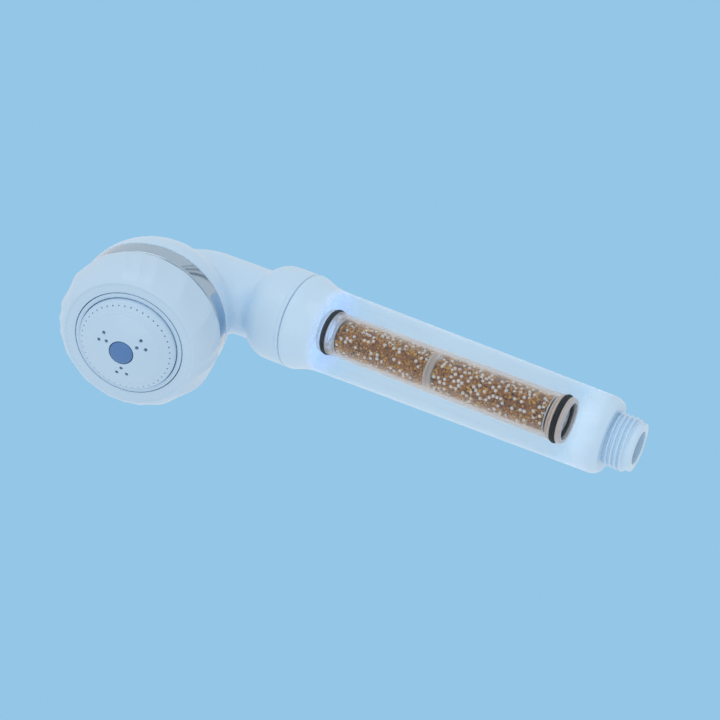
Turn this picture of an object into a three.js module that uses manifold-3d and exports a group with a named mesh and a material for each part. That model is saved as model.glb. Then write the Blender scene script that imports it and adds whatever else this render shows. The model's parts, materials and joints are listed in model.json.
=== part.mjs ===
// A handheld shower head with a filter cartridge in its handle, and a fluted dial that changes the spray.
// Millimetres, +Z up. The origin is the middle of the hose inlet's end face. The handle runs from there
// along -X to the head, the spray leaves the head near -Y, and Z is square to the plane of symmetry.
import * as THREE from "three";
import { mergeVertices } from "three/addons/utils/BufferGeometryUtils.js";
import Module from "manifold-3d";

const wasm = await Module();
wasm.setup();

// ---- Driving dimensions -------------------------------------------------------------------------

// Gaps between pieces
const SEAT_GAP = 0.3; // between two pieces that are seated on each other
const RUN_GAP = 0.5; // between the turning dial and what stays still
const SEAL_GAP = 0.1; // between a seal and the wall it slides past

// Hose inlet, a G1/2 parallel thread
const THREAD_R = 10.48;
const THREAD_DEPTH = 1.16;
const THREAD_PITCH = 1.814;
const THREAD_LEAD = 2.4; // plain length before the thread starts
const INLET_LENGTH = 10.5;
const INLET_BORE_R = 6.4;
const INLET_LEDGE_R = 5.2;
const INLET_LEDGE_LENGTH = 3;

// Cartridge
const CARTRIDGE_START = 27.6; // inlet face to the cartridge's end
const CARTRIDGE_END_SPACE = 10.7; // the cartridge's other end to the joint with the head
const CARTRIDGE_R = 9;
const CARTRIDGE_WALL = 1.1;
const CAP_RIM = 2; // end of a cap to its O-ring groove
const CAP_SKIRT = 1.6;
const HEAD_CAP_BAND = 2;
const ORING_OVER_TUBE = 0.7; // how far a cartridge O-ring stands out from the tube
const ORING_DEPTH = 1.05; // how far its groove goes below the tube's surface
const ORING_WIDTH = 2.1;
const DIVIDER_WIDTH = 3.4;
const INLET_BED_SHARE = 0.54; // of the tube's filled length, before the divider
const SCREEN_THICKNESS = 0.5;
const HEADROOM = 1.4; // clear space above the loosely filled granules

// Handle
const HANDLE_LENGTH = 146.1; // inlet face to the joint with the head
const HANDLE_WALL = 1.6; // at the inlet end, over the space around the cartridge
const HANDLE_TAPER = 2.4; // growth of the radius from the inlet end to the flange
const CARTRIDGE_SPACE = 3.4; // water space around the cartridge's socket
const SHOULDER_ROUND = 2.6;
const FLANGE_LENGTH = 11;

// Joint between handle and head
const SPIGOT_LENGTH = 11.4;
const SPIGOT_WALL = 2.6;
const JOINT_THREAD_DEPTH = 1;
const JOINT_THREAD_PITCH = 3;
const JOINT_THREAD_TURNS = 2.7;
const JOINT_THREAD_CLEARANCE = 0.4;
const GASKET_THICKNESS = 2;

// Neck and head
const COLLAR_WALL = 2.8;
const COLLAR_LENGTH = 12.4; // the collar's plain stretch
const COLLAR_ROUND = 6.8;
const NECK_R = 15.2;
const NECK_LENGTH = 63.4; // joint to the crossing of the handle's axis and the head's axis
const SHELL_WALL = 2.4;
const HEAD_TILT = THREE.MathUtils.degToRad(17.9); // of the spray from -Y towards the inlet
const BEND_R = 13;
const HEAD_R = 31.9;
const DOME_FRONT = 36.6; // handle axis to the front of the shell, along the head's axis
const DOME_DEPTH = 31.1; // front of the shell to the back of its dome
const TRIM_WIDTH = 7.6;
const TRIM_WALL = 1.6;
const LIP_WALL = 2;

// Dial and spray face
const DIAL_DEPTH = 17.4;
const DIAL_WALL = 2.4;
const DIAL_OVER_BAND = 1.2; // how far the dial stands out past the chrome band
const DIAL_SLOPE = 6.5; // how much smaller the front ridge is than the dial
const SCOOP_WIDTHS = [11.5, 11.5, 23, 28, 16]; // finger scoops, degrees from ridge to ridge, in each quarter
const SCOOP_DEPTH = 0.9; // of the widest scoop
const SCOOP_LEAN = 0.5; // degrees for each millimetre of depth
const FIRST_RIDGE = 12.5; // degrees from +Z, at the dial's back
const RIDGE_WIDTH = 0.9;
const RIDGE_STEP = 0.5; // height of the ridge over the flat ring inside it
const FACE_LIP = 4.25; // ridge to the mouth
const FACE_RING_WALL = 1.5;
const PLATE_WALL = 2;
const CROWN_RISE = 7.3; // dial's front to the crown of the spray plate
const SHELF_DROP = 6.2; // crown to the flat shelf around the plate
const SHELF_WIDTH = 3.4;
const CAP_R = 4.95;
const CUP_DEPTH = 4.9; // crown to the floor under the centre cap
const JET_R = 0.72;
const JET_GROUPS = 3;
const JET_INNER_RING = 7.2;
const JET_OUTER_RING = 10.1;
const JET_SPREAD = THREE.MathUtils.degToRad(11.6);
const JET_TURN = THREE.MathUtils.degToRad(28); // first group, from the side nearest the inlet
const NOZZLES = 46;
const NOZZLE_R = 0.34;
const NOZZLE_INSET = 1.55;

// Valve parts behind the face
const BASE_THICKNESS = 3.5;
const BASE_INSET = 1;
const HUB_R = 5;
const SCREW_R = 1.6;
const SCREW_HEAD_R = 3.3;
const PORT_BORE_R = 4.2;
const CHAMBER_FLOOR = 2.5;
const CHAMBER_SPACE = 5; // how much smaller the chamber's floor is than the head
const CORE_SPACE = 2.3; // outer jets to the wall of the inner chamber
const CORE_WALL = 1.2;
const DETENT_BALL_R = 1.8;
const STOP_PIN_R = 1.4;
const STOP_EDGE = 3.5; // stop pin to the rim of the chamber's floor
const DETENT_STEP = 3; // detent ball to the stop pin's ring
const DIAL_TURN = THREE.MathUtils.degToRad(60); // each way from the middle setting
const ROTOR_VANES = 8;

// Smoothness of round pieces
const BIG_SIDES = 32;
const DIAL_SIDES = 96;
const MID_SIDES = 24;
const SMALL_SIDES = 12;
const TINY_SIDES = 6;

// ---- Derived sizes ------------------------------------------------------------------------------

const INLET_LEDGE_START = INLET_LENGTH + 1.5;
const SHOULDER = INLET_LENGTH + SHOULDER_ROUND;
const SOCKET_R = CARTRIDGE_R + ORING_OVER_TUBE + SEAT_GAP;
const HANDLE_BORE_R = SOCKET_R + CARTRIDGE_SPACE;
const HANDLE_START_R = HANDLE_BORE_R + HANDLE_WALL;
const HANDLE_END_R = HANDLE_START_R + HANDLE_TAPER;
const FLANGE_START = HANDLE_LENGTH - FLANGE_LENGTH;
const SPIGOT_R = HANDLE_BORE_R + SPIGOT_WALL;
const SPIGOT_END = HANDLE_LENGTH + SPIGOT_LENGTH;
const COLLAR_BORE_R = SPIGOT_R + JOINT_THREAD_DEPTH + JOINT_THREAD_CLEARANCE;
const FLANGE_R = COLLAR_BORE_R + COLLAR_WALL;
const COLLAR_FLOOR = SPIGOT_END + GASKET_THICKNESS + 2 * SEAT_GAP;
const HEAD_DISTANCE = HANDLE_LENGTH + NECK_LENGTH;

const CARTRIDGE_END = HANDLE_LENGTH - CARTRIDGE_END_SPACE;
const TUBE_BORE_R = CARTRIDGE_R - CARTRIDGE_WALL;
const INSERT_R = TUBE_BORE_R - SEAT_GAP;
const CAP_BORE_R = INSERT_R - 1.4;
const CAP_RECESS_R = CARTRIDGE_R - 1.7;
const TUBE_START = CARTRIDGE_START + CAP_RIM + ORING_WIDTH + 2 * SEAL_GAP + 1.2;
const TUBE_END = CARTRIDGE_END - CAP_RIM - ORING_WIDTH - 2 * SEAL_GAP - HEAD_CAP_BAND + 1;
const BED_START = TUBE_START + CAP_SKIRT + 0.3 + SCREEN_THICKNESS + SEAT_GAP;
const BED_END = TUBE_END - CAP_SKIRT - 0.6 - SCREEN_THICKNESS - SEAT_GAP;
const DIVIDER_PLACE = BED_START + INLET_BED_SHARE * (BED_END - BED_START);

const NECK_BORE_R = NECK_R - SHELL_WALL;
const BEND_TURN = Math.PI / 2 + HEAD_TILT;
const BEND_START = HEAD_DISTANCE - BEND_R * Math.tan(BEND_TURN / 2);
const LIP_R = HEAD_R - TRIM_WALL - SEAT_GAP;
const LIP_BORE_R = LIP_R - LIP_WALL;

// Places along the head's axis
const TRIM_BACK = DOME_FRONT + SEAT_GAP;
const TRIM_FRONT = TRIM_BACK + TRIM_WIDTH;
const DIAL_BACK = TRIM_FRONT + RUN_GAP;
const DIAL_FRONT = DIAL_BACK + DIAL_DEPTH;
const PLATE_CROWN = DIAL_FRONT + CROWN_RISE;
const BASE_FRONT = TRIM_FRONT - BASE_INSET;
const BASE_BACK = BASE_FRONT - BASE_THICKNESS;
const CHAMBER_BACK = BASE_FRONT + RUN_GAP;
const CHAMBER_FRONT = CHAMBER_BACK + CHAMBER_FLOOR;
const SHELF = PLATE_CROWN - SHELF_DROP;
const CUP_FLOOR = PLATE_CROWN - CUP_DEPTH;
const CUP_BACK = CUP_FLOOR - 1.5;
const POST_END = CUP_BACK - SEAT_GAP;

// Radii about the head's axis
const DIAL_R = HEAD_R + DIAL_OVER_BAND;
const RIDGE_R = DIAL_R - DIAL_SLOPE;
const DIAL_MOUTH_R = RIDGE_R - FACE_LIP;
const FACE_RING_R = DIAL_MOUTH_R - RUN_GAP;
const PLATE_R = FACE_RING_R - FACE_RING_WALL - RUN_GAP;
const NOZZLE_RING = PLATE_R - NOZZLE_INSET;
const CUP_R = CAP_R + SEAT_GAP;
const CUP_OUTER_R = CUP_R + 1.05;
const CORE_WALL_R = JET_OUTER_RING + CORE_SPACE;
const PORT_RING = CORE_WALL_R - CORE_WALL / 2;
const CHAMBER_R = HEAD_R - CHAMBER_SPACE;
const STOP_RING = CHAMBER_R - STOP_EDGE;
const DETENT_RING = STOP_RING - DETENT_STEP;

// ---- Shape helpers ------------------------------------------------------------------------------

// A closed geometry as a solid that can be joined and cut.
function solid(geometry) {
  const bare = geometry.clone();
  bare.deleteAttribute("normal");
  bare.deleteAttribute("uv");
  const merged = mergeVertices(bare, 1e-4);
  const vertProperties = merged.attributes.position.array;
  const triVerts = new Uint32Array(merged.index.array);
  return new wasm.Manifold(new wasm.Mesh({ numProp: 3, vertProperties, triVerts }));
}

// The solid's surface as a geometry.
function surface(body) {
  const mesh = body.getMesh();
  const geometry = new THREE.BufferGeometry();
  geometry.setAttribute("position", new THREE.BufferAttribute(mesh.vertProperties, 3));
  geometry.setIndex(new THREE.BufferAttribute(mesh.triVerts, 1));
  geometry.computeVertexNormals();
  return geometry;
}

// A profile of [radius, place] pairs turned about the Y axis. It starts and ends on the axis, or else closes.
function turned(profile, sides) {
  const points = profile.map(([r, y]) => new THREE.Vector2(r, y));
  const onAxis = profile[0][0] === 0 && profile.at(-1)[0] === 0;
  if (!onAxis) points.push(points[0].clone());
  return new THREE.LatheGeometry(points, sides);
}

// A plain ring.
function ring(outer, inner, from, to, sides = MID_SIDES) {
  const corners = [[inner, from], [outer, from], [outer, to], [inner, to]];
  return turned(corners, sides);
}

// A plain disc on the axis.
function plate(outer, from, to, sides = MID_SIDES) {
  return turned([[0, from], [outer, from], [outer, to], [0, to]], sides);
}

// Points on a quarter-round or any other arc, in the profile's [radius, place] plane.
function arc(centreR, centreY, radius, fromDegrees, toDegrees, steps) {
  return Array.from({ length: steps + 1 }, (_, i) => {
    const angle = THREE.MathUtils.degToRad(fromDegrees + ((toDegrees - fromDegrees) * i) / steps);
    return [centreR + radius * Math.cos(angle), centreY + radius * Math.sin(angle)];
  });
}

// A round bar along Y, at a place on a circle about Y. Angle 0 is +Z and 90 degrees is +X.
function barAt(circleR, angle, barR, from, to, sides = SMALL_SIDES) {
  const bar = new THREE.CylinderGeometry(barR, barR, to - from, sides);
  return bar.translate(circleR * Math.sin(angle), (from + to) / 2, circleR * Math.cos(angle));
}

// Cutters for six holes on a circle about Y.
function sixHoles(circleR, holeR, from, to) {
  return [0, 1, 2, 3, 4, 5].map((i) => barAt(circleR, (i * Math.PI) / 3, holeR, from, to, TINY_SIDES));
}

// An O-ring of oval section about Y.
function oRing(middleR, middleY, radial, axial, sides = MID_SIDES) {
  const profile = arc(0, 0, 1, -90, 225, 7).map(([x, y]) => [middleR + radial * x, middleY + axial * y]);
  return turned(profile, sides);
}

// A bar of the given outline wound about Y: the outline's x is added to the radius, its y to the place.
function wound(outline, radius, from, pitch, turns, stepsPerTurn = 12) {
  const shape = new THREE.Shape(outline.map(([x, y]) => new THREE.Vector2(x, y)));
  const steps = Math.ceil(turns * stepsPerTurn);
  const geometry = new THREE.ExtrudeGeometry(shape, { depth: 1, steps, bevelEnabled: false });
  const place = geometry.attributes.position;
  for (let i = 0; i < place.count; i++) {
    const turn = (1 - place.getZ(i)) * turns;
    const angle = turn * 2 * Math.PI;
    const r = radius + place.getX(i);
    place.setXYZ(i, r * Math.sin(angle), from + turn * pitch + place.getY(i), r * Math.cos(angle));
  }
  return geometry;
}

// An external thread's ridge, with its root sunk into the core that it is joined to.
function threadRidge(coreR, depth, pitch, from, turns) {
  const sunk = 0.3;
  const [foot, crest] = [0.42 * pitch, 0.08 * pitch];
  const outline = [[-sunk, -foot], [depth, -crest], [depth, crest], [-sunk, foot]];
  return wound(outline, coreR, from, pitch, turns);
}

// A coil spring of round wire.
function coilSpring(coilR, wireR, from, to, turns) {
  const outline = arc(0, 0, wireR, 0, 288, 4);
  const pitch = (to - from - 2 * wireR) / turns;
  return wound(outline, coilR, from + wireR, pitch, turns, 10);
}

function cut(body, cutters) {
  return cutters.reduce((left, cutter) => left.subtract(solid(cutter)), body);
}

function join(geometries) {
  return geometries.map(solid).reduce((left, right) => left.add(right));
}

// ---- Materials ----------------------------------------------------------------------------------

function finish(color, roughness, metalness = 0, opacity = 1) {
  return { color, roughness, metalness, opacity, transparent: opacity < 1 };
}

const WHITE = finish(0xe9f2fb, 0.25);
const GHOST = finish(0xdcebf8, 0.25, 0, 0.45);
const CHROME = finish(0xc4ccd4, 0.08, 1);
const CLEAR = finish(0xe8e0d8, 0.1, 0, 0.3);
const CAP_GREY = finish(0xb8aea8, 0.3, 0, 0.7);
const RUBBER = finish(0x0c0c0e, 0.6);
const BLUE = finish(0x4682c8, 0.3);
const STEEL = finish(0xb9bcc0, 0.3, 1);
const NATURAL = finish(0xf2f2ec, 0.5);
const GRANULES = finish(0x7a5326, 0.8);

function piece(name, geometry, look) {
  const mesh = new THREE.Mesh(geometry, new THREE.MeshStandardMaterial(look));
  mesh.name = name;
  return mesh;
}

// ---- Handle -------------------------------------------------------------------------------------

// Outer radius of the handle's cone at a distance from the inlet face.
function coneR(s) {
  const share = (s - SHOULDER) / (FLANGE_START - SHOULDER);
  return THREE.MathUtils.lerp(HANDLE_START_R, HANDLE_END_R, share);
}

// The flange at the joint: a hollow curve up from the cone, then a rounded bead.
function flangeProfile() {
  const steps = 6;
  const rise = Array.from({ length: steps + 1 }, (_, i) => {
    const t = i / steps;
    const lift = t * t * (3 - 2 * t);
    return [HANDLE_END_R + (FLANGE_R - HANDLE_END_R) * lift, FLANGE_START + 0.9 * FLANGE_LENGTH * t];
  });
  return [...rise, [FLANGE_R, HANDLE_LENGTH - 0.6], [FLANGE_R - 0.5, HANDLE_LENGTH]];
}

function handleTube() {
  const coreR = THREAD_R - THREAD_DEPTH;
  const chamfer = 0.5;
  const socketFloor = INLET_LEDGE_START + INLET_LEDGE_LENGTH;
  const socketMouth = CARTRIDGE_START + 9.4;
  const profile = [
    [INLET_BORE_R, 0],
    [coreR - chamfer, 0],
    [coreR, chamfer],
    [coreR, INLET_LENGTH],
    ...arc(HANDLE_START_R - SHOULDER_ROUND, SHOULDER, SHOULDER_ROUND, -90, 0, 5),
    [coneR(0.5 * FLANGE_START), 0.5 * FLANGE_START],
    ...flangeProfile(),
    [SPIGOT_R, HANDLE_LENGTH],
    [SPIGOT_R, SPIGOT_END - 0.8],
    [SPIGOT_R - 0.8, SPIGOT_END],
    [HANDLE_BORE_R, SPIGOT_END],
    [HANDLE_BORE_R, socketMouth + 3],
    [SOCKET_R + 0.6, socketMouth],
    [SOCKET_R, socketMouth - 1.2],
    [SOCKET_R, socketFloor],
    [INLET_LEDGE_R, socketFloor],
    [INLET_LEDGE_R, INLET_LEDGE_START],
    [INLET_BORE_R, INLET_LEDGE_START],
  ];
  const threadTurns = (INLET_LENGTH - THREAD_LEAD - THREAD_PITCH) / THREAD_PITCH + 0.3;
  const inletStart = THREAD_LEAD + 0.5 * THREAD_PITCH;
  const jointStart = HANDLE_LENGTH + 0.5 * JOINT_THREAD_PITCH;
  const ridges = [
    threadRidge(coreR, THREAD_DEPTH, THREAD_PITCH, inletStart, threadTurns),
    threadRidge(SPIGOT_R, JOINT_THREAD_DEPTH, JOINT_THREAD_PITCH, jointStart, JOINT_THREAD_TURNS),
  ];
  return piece("handle_tube", surface(join([turned(profile, BIG_SIDES), ...ridges])), GHOST);
}

// What sits in the inlet's bore, from the ledge outwards: a seal, a flow restrictor and a domed screen.
const INLET_SEAL_SECTION = 0.8;
const RESTRICTOR_BACK = INLET_LEDGE_START - 2 * (INLET_SEAL_SECTION + SEAL_GAP) - SEAT_GAP;
const RESTRICTOR_FRONT = RESTRICTOR_BACK - 2.2;
const SCREEN_RIM = RESTRICTOR_FRONT - SEAT_GAP;

function inletScreen() {
  const r = INLET_BORE_R - SEAT_GAP;
  const middle = SCREEN_RIM - 1.5;
  const back = [[r, SCREEN_RIM], [0.6 * r, middle + SCREEN_THICKNESS], [0, middle]];
  const front = [[0, middle - SCREEN_THICKNESS], [0.6 * r, middle], [r, SCREEN_RIM - SCREEN_THICKNESS]];
  const bowl = turned([...front, ...back], MID_SIDES);
  const holes = sixHoles(0.6 * r, 0.7, middle - 1, SCREEN_RIM + 1);
  return piece("inlet_screen", surface(cut(solid(bowl), holes)), STEEL);
}

function flowRestrictor() {
  const disc = plate(INLET_BORE_R - SEAT_GAP, RESTRICTOR_FRONT, RESTRICTOR_BACK);
  const holes = [0, 1, 2].map((i) => barAt(3.2, (i * 2 * Math.PI) / 3, 1.1, 0, INLET_LEDGE_START, 10));
  return piece("flow_restrictor", surface(cut(solid(disc), holes)), NATURAL);
}

function restrictorSeal() {
  const middleR = INLET_BORE_R - SEAL_GAP - INLET_SEAL_SECTION;
  const middle = INLET_LEDGE_START - SEAL_GAP - INLET_SEAL_SECTION;
  return piece("restrictor_seal", oRing(middleR, middle, INLET_SEAL_SECTION, INLET_SEAL_SECTION), RUBBER);
}

// Four ribs and a ring that keep the cartridge's head end in the middle of the handle.
function centringRing() {
  const from = CARTRIDGE_END - 4.6;
  const to = CARTRIDGE_END + 1.6;
  const outer = HANDLE_BORE_R - SEAT_GAP;
  const collar = ring(SOCKET_R + 1.2, SOCKET_R, from, to);
  const band = ring(outer, outer - 1, from, to);
  const ribLength = outer - SOCKET_R - 1;
  const ribs = [0, 1, 2, 3].map((i) => {
    const rib = new THREE.BoxGeometry(1.2, to - from - 1, ribLength);
    rib.translate(0, (from + to) / 2, SOCKET_R + 0.6 + ribLength / 2);
    return rib.rotateY((i * Math.PI) / 2);
  });
  return piece("centring_ring", surface(join([collar, band, ...ribs])), GHOST);
}

// ---- Cartridge ----------------------------------------------------------------------------------

// Outer half of an end cap: rim, O-ring groove, band and skirt. Places run inwards from the cap's own end.
function capOutline(band) {
  const grooveR = CARTRIDGE_R - ORING_DEPTH;
  const groove = CAP_RIM + ORING_WIDTH + 2 * SEAL_GAP;
  return [
    [CARTRIDGE_R - 0.3, 0],
    [CARTRIDGE_R + 0.1, 0.5],
    [CARTRIDGE_R + 0.1, CAP_RIM],
    [grooveR, CAP_RIM],
    [grooveR, groove],
    [CARTRIDGE_R + 0.3, groove],
    [CARTRIDGE_R + 0.3, groove + band - SEAT_GAP],
    [INSERT_R, groove + band - SEAT_GAP],
    [INSERT_R, groove + band + CAP_SKIRT],
  ];
}

function inletCap() {
  const recess = 4;
  const outline = capOutline(1.2);
  const depth = outline.at(-1)[1];
  const bore = [[CAP_BORE_R, depth], [CAP_BORE_R, recess], [CAP_RECESS_R, recess]];
  const profile = [[CAP_RECESS_R, 0], ...outline, ...bore];
  const cap = turned(profile, MID_SIDES);
  return piece("cartridge_inlet_cap", cap.translate(0, CARTRIDGE_START, 0), CAP_GREY);
}

function headCap() {
  const outline = capOutline(HEAD_CAP_BAND - 1);
  const depth = outline.at(-1)[1];
  const profile = [[CAP_BORE_R, 0], ...outline, [CAP_BORE_R, depth]];
  const mirrored = profile.map(([r, y]) => [r, CARTRIDGE_END - y]).reverse();
  return piece("cartridge_head_cap", turned(mirrored, MID_SIDES), CLEAR);
}

function cartridgeSeal(name, middle) {
  const section = (ORING_OVER_TUBE + ORING_DEPTH - SEAL_GAP) / 2;
  const middleR = CARTRIDGE_R + ORING_OVER_TUBE - section;
  return piece(name, oRing(middleR, middle, section, ORING_WIDTH / 2), RUBBER);
}

function cartridgeTube() {
  return piece("cartridge_tube", ring(CARTRIDGE_R, TUBE_BORE_R, TUBE_START, TUBE_END), CLEAR);
}

function inletGasket() {
  const outer = CAP_RECESS_R - SEAL_GAP;
  const from = CARTRIDGE_START + 1.2;
  return piece("cartridge_face_gasket", ring(outer, outer - 1.1, from, from + 1.2), RUBBER);
}

// The disc with holes and a knob in its middle, at the bottom of the inlet cap's recess.
function strainerDisc() {
  const front = CARTRIDGE_START + 2.8;
  const back = front + 0.9;
  const r = CAP_RECESS_R - SEAT_GAP;
  const knob = [[0, front - 1], [0.9, front - 1], [1.4, front - 0.5], [1.4, front]];
  const disc = turned([...knob, [r, front], [r, back], [0, back]], MID_SIDES);
  const holes = sixHoles(4, 0.6, front - 1, back + 1);
  return piece("strainer_disc", surface(cut(solid(disc), holes)), CAP_GREY);
}

function meshScreen(name, from) {
  const disc = plate(INSERT_R, from, from + SCREEN_THICKNESS);
  const holes = sixHoles(4, 0.9, from - 1, from + 2);
  return piece(name, surface(cut(solid(disc), holes)), STEEL);
}

function divider() {
  const from = DIVIDER_PLACE - DIVIDER_WIDTH / 2;
  const to = DIVIDER_PLACE + DIVIDER_WIDTH / 2;
  const disc = plate(INSERT_R, from, to);
  const holes = sixHoles(4.4, 1.1, from - 1, to + 1);
  return piece("cartridge_divider", surface(cut(solid(disc), holes)), CLEAR);
}

// A bed of granules that fills the tube except for a flat space along the side that is up.
function granuleBed(name, from, to) {
  const bed = plate(INSERT_R, from, to);
  const space = new THREE.BoxGeometry(4 * INSERT_R, to - from + 2, 2 * HEADROOM);
  space.translate(0, (from + to) / 2, INSERT_R);
  return piece(name, surface(cut(solid(bed), [space])), GRANULES);
}

function cartridgePieces() {
  const grooveMiddle = CAP_RIM + SEAL_GAP + ORING_WIDTH / 2;
  return [
    inletCap(),
    headCap(),
    cartridgeTube(),
    cartridgeSeal("cartridge_inlet_seal", CARTRIDGE_START + grooveMiddle),
    cartridgeSeal("cartridge_head_seal", CARTRIDGE_END - grooveMiddle),
    inletGasket(),
    strainerDisc(),
    meshScreen("inlet_mesh", BED_START - SEAT_GAP - SCREEN_THICKNESS),
    meshScreen("outlet_mesh", BED_END + SEAT_GAP),
    divider(),
    granuleBed("inlet_granules", BED_START, DIVIDER_PLACE - DIVIDER_WIDTH / 2 - SEAT_GAP),
    granuleBed("outlet_granules", DIVIDER_PLACE + DIVIDER_WIDTH / 2 + SEAT_GAP, BED_END),
  ];
}

// ---- Neck and head shell ------------------------------------------------------------------------

// The middle line of the neck's bend, from the handle's axis to the head's axis.
class BendLine extends THREE.Curve {
  getPoint(t, target = new THREE.Vector3()) {
    const angle = t * BEND_TURN;
    return target.set(-BEND_START - BEND_R * Math.sin(angle), BEND_R * (Math.cos(angle) - 1), 0);
  }
}

// The neck as a solid bar, straight and then bent. The bend's inner side, which is buried in the dome
// or already hollow, stays short of the middle of the bend.
function neckBar(radius, from, sides, steps) {
  const section = Array.from({ length: sides }, (_, i) => {
    const angle = (i * 2 * Math.PI) / sides;
    const inwards = Math.min(radius * Math.cos(angle), BEND_R - 0.3);
    return new THREE.Vector2(radius * Math.sin(angle), inwards);
  });
  const settings = { steps, bevelEnabled: false, extrudePath: new BendLine() };
  const bend = new THREE.ExtrudeGeometry(new THREE.Shape(section), settings);
  return solid(alongHandle(plate(radius, from, BEND_START + 0.2, sides))).add(solid(bend));
}

// Turns a geometry about Y into the place and direction of the handle's axis.
function alongHandle(geometry) {
  return geometry.rotateZ(Math.PI / 2);
}

// Turns a geometry about Y into the place and direction of the head's axis.
function alongHead(geometry) {
  return geometry.rotateZ(Math.PI + HEAD_TILT).translate(-HEAD_DISTANCE, 0, 0);
}

// Half an oval from the dome's back, on the axis, to its widest place at the front.
function domeCurve(radius, depth, steps) {
  return Array.from({ length: steps + 1 }, (_, i) => {
    const angle = (i * Math.PI) / 2 / steps;
    return [i === 0 ? 0 : radius * Math.sin(angle), DOME_FRONT - depth * Math.cos(angle)];
  });
}

function headShell() {
  const collarFrom = HANDLE_LENGTH + SEAT_GAP;
  const collarTo = collarFrom + COLLAR_LENGTH;
  const shoulder = arc(FLANGE_R - COLLAR_ROUND, collarTo, COLLAR_ROUND, 0, 75, 4);
  const rim = [[0, collarFrom], [FLANGE_R - 0.5, collarFrom], [FLANGE_R, collarFrom + 0.6]];
  const collar = [...rim, ...shoulder, [0, shoulder.at(-1)[1]]];
  const dome = [
    ...domeCurve(HEAD_R, DOME_DEPTH, 9),
    [LIP_R, DOME_FRONT],
    [LIP_R, TRIM_FRONT - 1],
    [0, TRIM_FRONT - 1],
  ];
  const hollowCurve = domeCurve(LIP_BORE_R, DOME_DEPTH - SHELL_WALL, 6);
  const hollow = [...hollowCurve, [LIP_BORE_R, TRIM_FRONT], [0, TRIM_FRONT]];
  const socket = plate(COLLAR_BORE_R, collarFrom - 1, COLLAR_FLOOR, BIG_SIDES);
  const outside = join([alongHandle(turned(collar, BIG_SIDES)), alongHead(turned(dome, BIG_SIDES))]);
  const inside = join([alongHandle(socket), alongHead(turned(hollow, BIG_SIDES))]);
  const neck = neckBar(NECK_R, collarTo - 2, MID_SIDES, 7);
  const neckBore = neckBar(NECK_BORE_R, COLLAR_FLOOR - 1, MID_SIDES - 4, 6);
  return piece("head_shell", surface(outside.add(neck).subtract(inside.add(neckBore))), WHITE);
}

function jointGasket() {
  const outer = COLLAR_BORE_R - SEAT_GAP;
  const from = SPIGOT_END + SEAT_GAP;
  return piece("joint_gasket", ring(outer, NECK_BORE_R, from, from + GASKET_THICKNESS), RUBBER);
}

function trimRing() {
  const edge = 0.4;
  const inner = HEAD_R - TRIM_WALL;
  const profile = [
    [inner, TRIM_BACK],
    [HEAD_R - edge, TRIM_BACK],
    [HEAD_R, TRIM_BACK + edge],
    [HEAD_R, TRIM_FRONT - edge],
    [HEAD_R - edge, TRIM_FRONT],
    [inner, TRIM_FRONT],
  ];
  return piece("trim_ring", turned(profile, BIG_SIDES), CHROME);
}

// ---- Valve parts that stay with the head --------------------------------------------------------

// Angles about the head's axis start at +Z, and this one points to the side nearest the inlet.
const INLET_SIDE = -Math.PI / 2;
const DETENT_SIDE = -INLET_SIDE;

function valveBase() {
  const shankBore = SCREW_R + SEAT_GAP;
  const plate = [
    [shankBore, BASE_BACK],
    [LIP_BORE_R - SEAT_GAP, BASE_BACK],
    [LIP_BORE_R - SEAT_GAP, BASE_FRONT],
    [HUB_R, BASE_FRONT],
    [HUB_R, CHAMBER_FRONT + 0.2],
    [shankBore, CHAMBER_FRONT + 0.2],
  ];
  const body = join([
    turned(plate, BIG_SIDES),
    barAt(PORT_RING, 0, PORT_BORE_R + 1.2, BASE_BACK - 3.5, BASE_BACK + 1),
    barAt(DETENT_RING, DETENT_SIDE, DETENT_BALL_R + 1.6, BASE_BACK - 4, BASE_BACK + 1),
    barAt(STOP_RING, INLET_SIDE, STOP_PIN_R, BASE_FRONT - 1, CHAMBER_FRONT - 0.6, 12),
  ]);
  const cuts = [
    barAt(PORT_RING, 0, PORT_BORE_R, BASE_BACK - 2, BASE_FRONT + 1),
    barAt(PORT_RING, 0, PORT_BORE_R - 1.4, BASE_BACK - 5, BASE_FRONT),
    barAt(DETENT_RING, DETENT_SIDE, DETENT_BALL_R + SEAT_GAP, BASE_BACK - 3, BASE_FRONT + 1),
  ];
  return piece("valve_base", surface(cut(body, cuts)), NATURAL);
}

function placedAt(geometry, circleR, angle) {
  return geometry.translate(circleR * Math.sin(angle), 0, circleR * Math.cos(angle));
}

function portSeal() {
  const from = BASE_BACK + 0.4;
  const outer = PORT_BORE_R - SEAT_GAP;
  const seal = ring(outer, outer - 1.3, from, BASE_FRONT + 0.25, SMALL_SIDES);
  return piece("port_seal", placedAt(seal, PORT_RING, 0), RUBBER);
}

function portSpring() {
  const spring = coilSpring(PORT_BORE_R - 0.8, 0.3, BASE_BACK - 1.8, BASE_BACK + 0.2, 2.5);
  return piece("port_spring", placedAt(spring, PORT_RING, 0), STEEL);
}

function detentBall() {
  const ball = new THREE.SphereGeometry(DETENT_BALL_R, 14, 10);
  ball.translate(0, BASE_FRONT - 0.1 - DETENT_BALL_R, 0);
  return piece("detent_ball", placedAt(ball, DETENT_RING, DETENT_SIDE), STEEL);
}

function detentSpring() {
  const top = BASE_FRONT - 0.3 - 2 * DETENT_BALL_R;
  const spring = coilSpring(DETENT_BALL_R - 0.5, 0.22, BASE_BACK - 2.8, top, 3);
  return piece("detent_spring", placedAt(spring, DETENT_RING, DETENT_SIDE), STEEL);
}

const WASHER_THICKNESS = 0.6;

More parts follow.
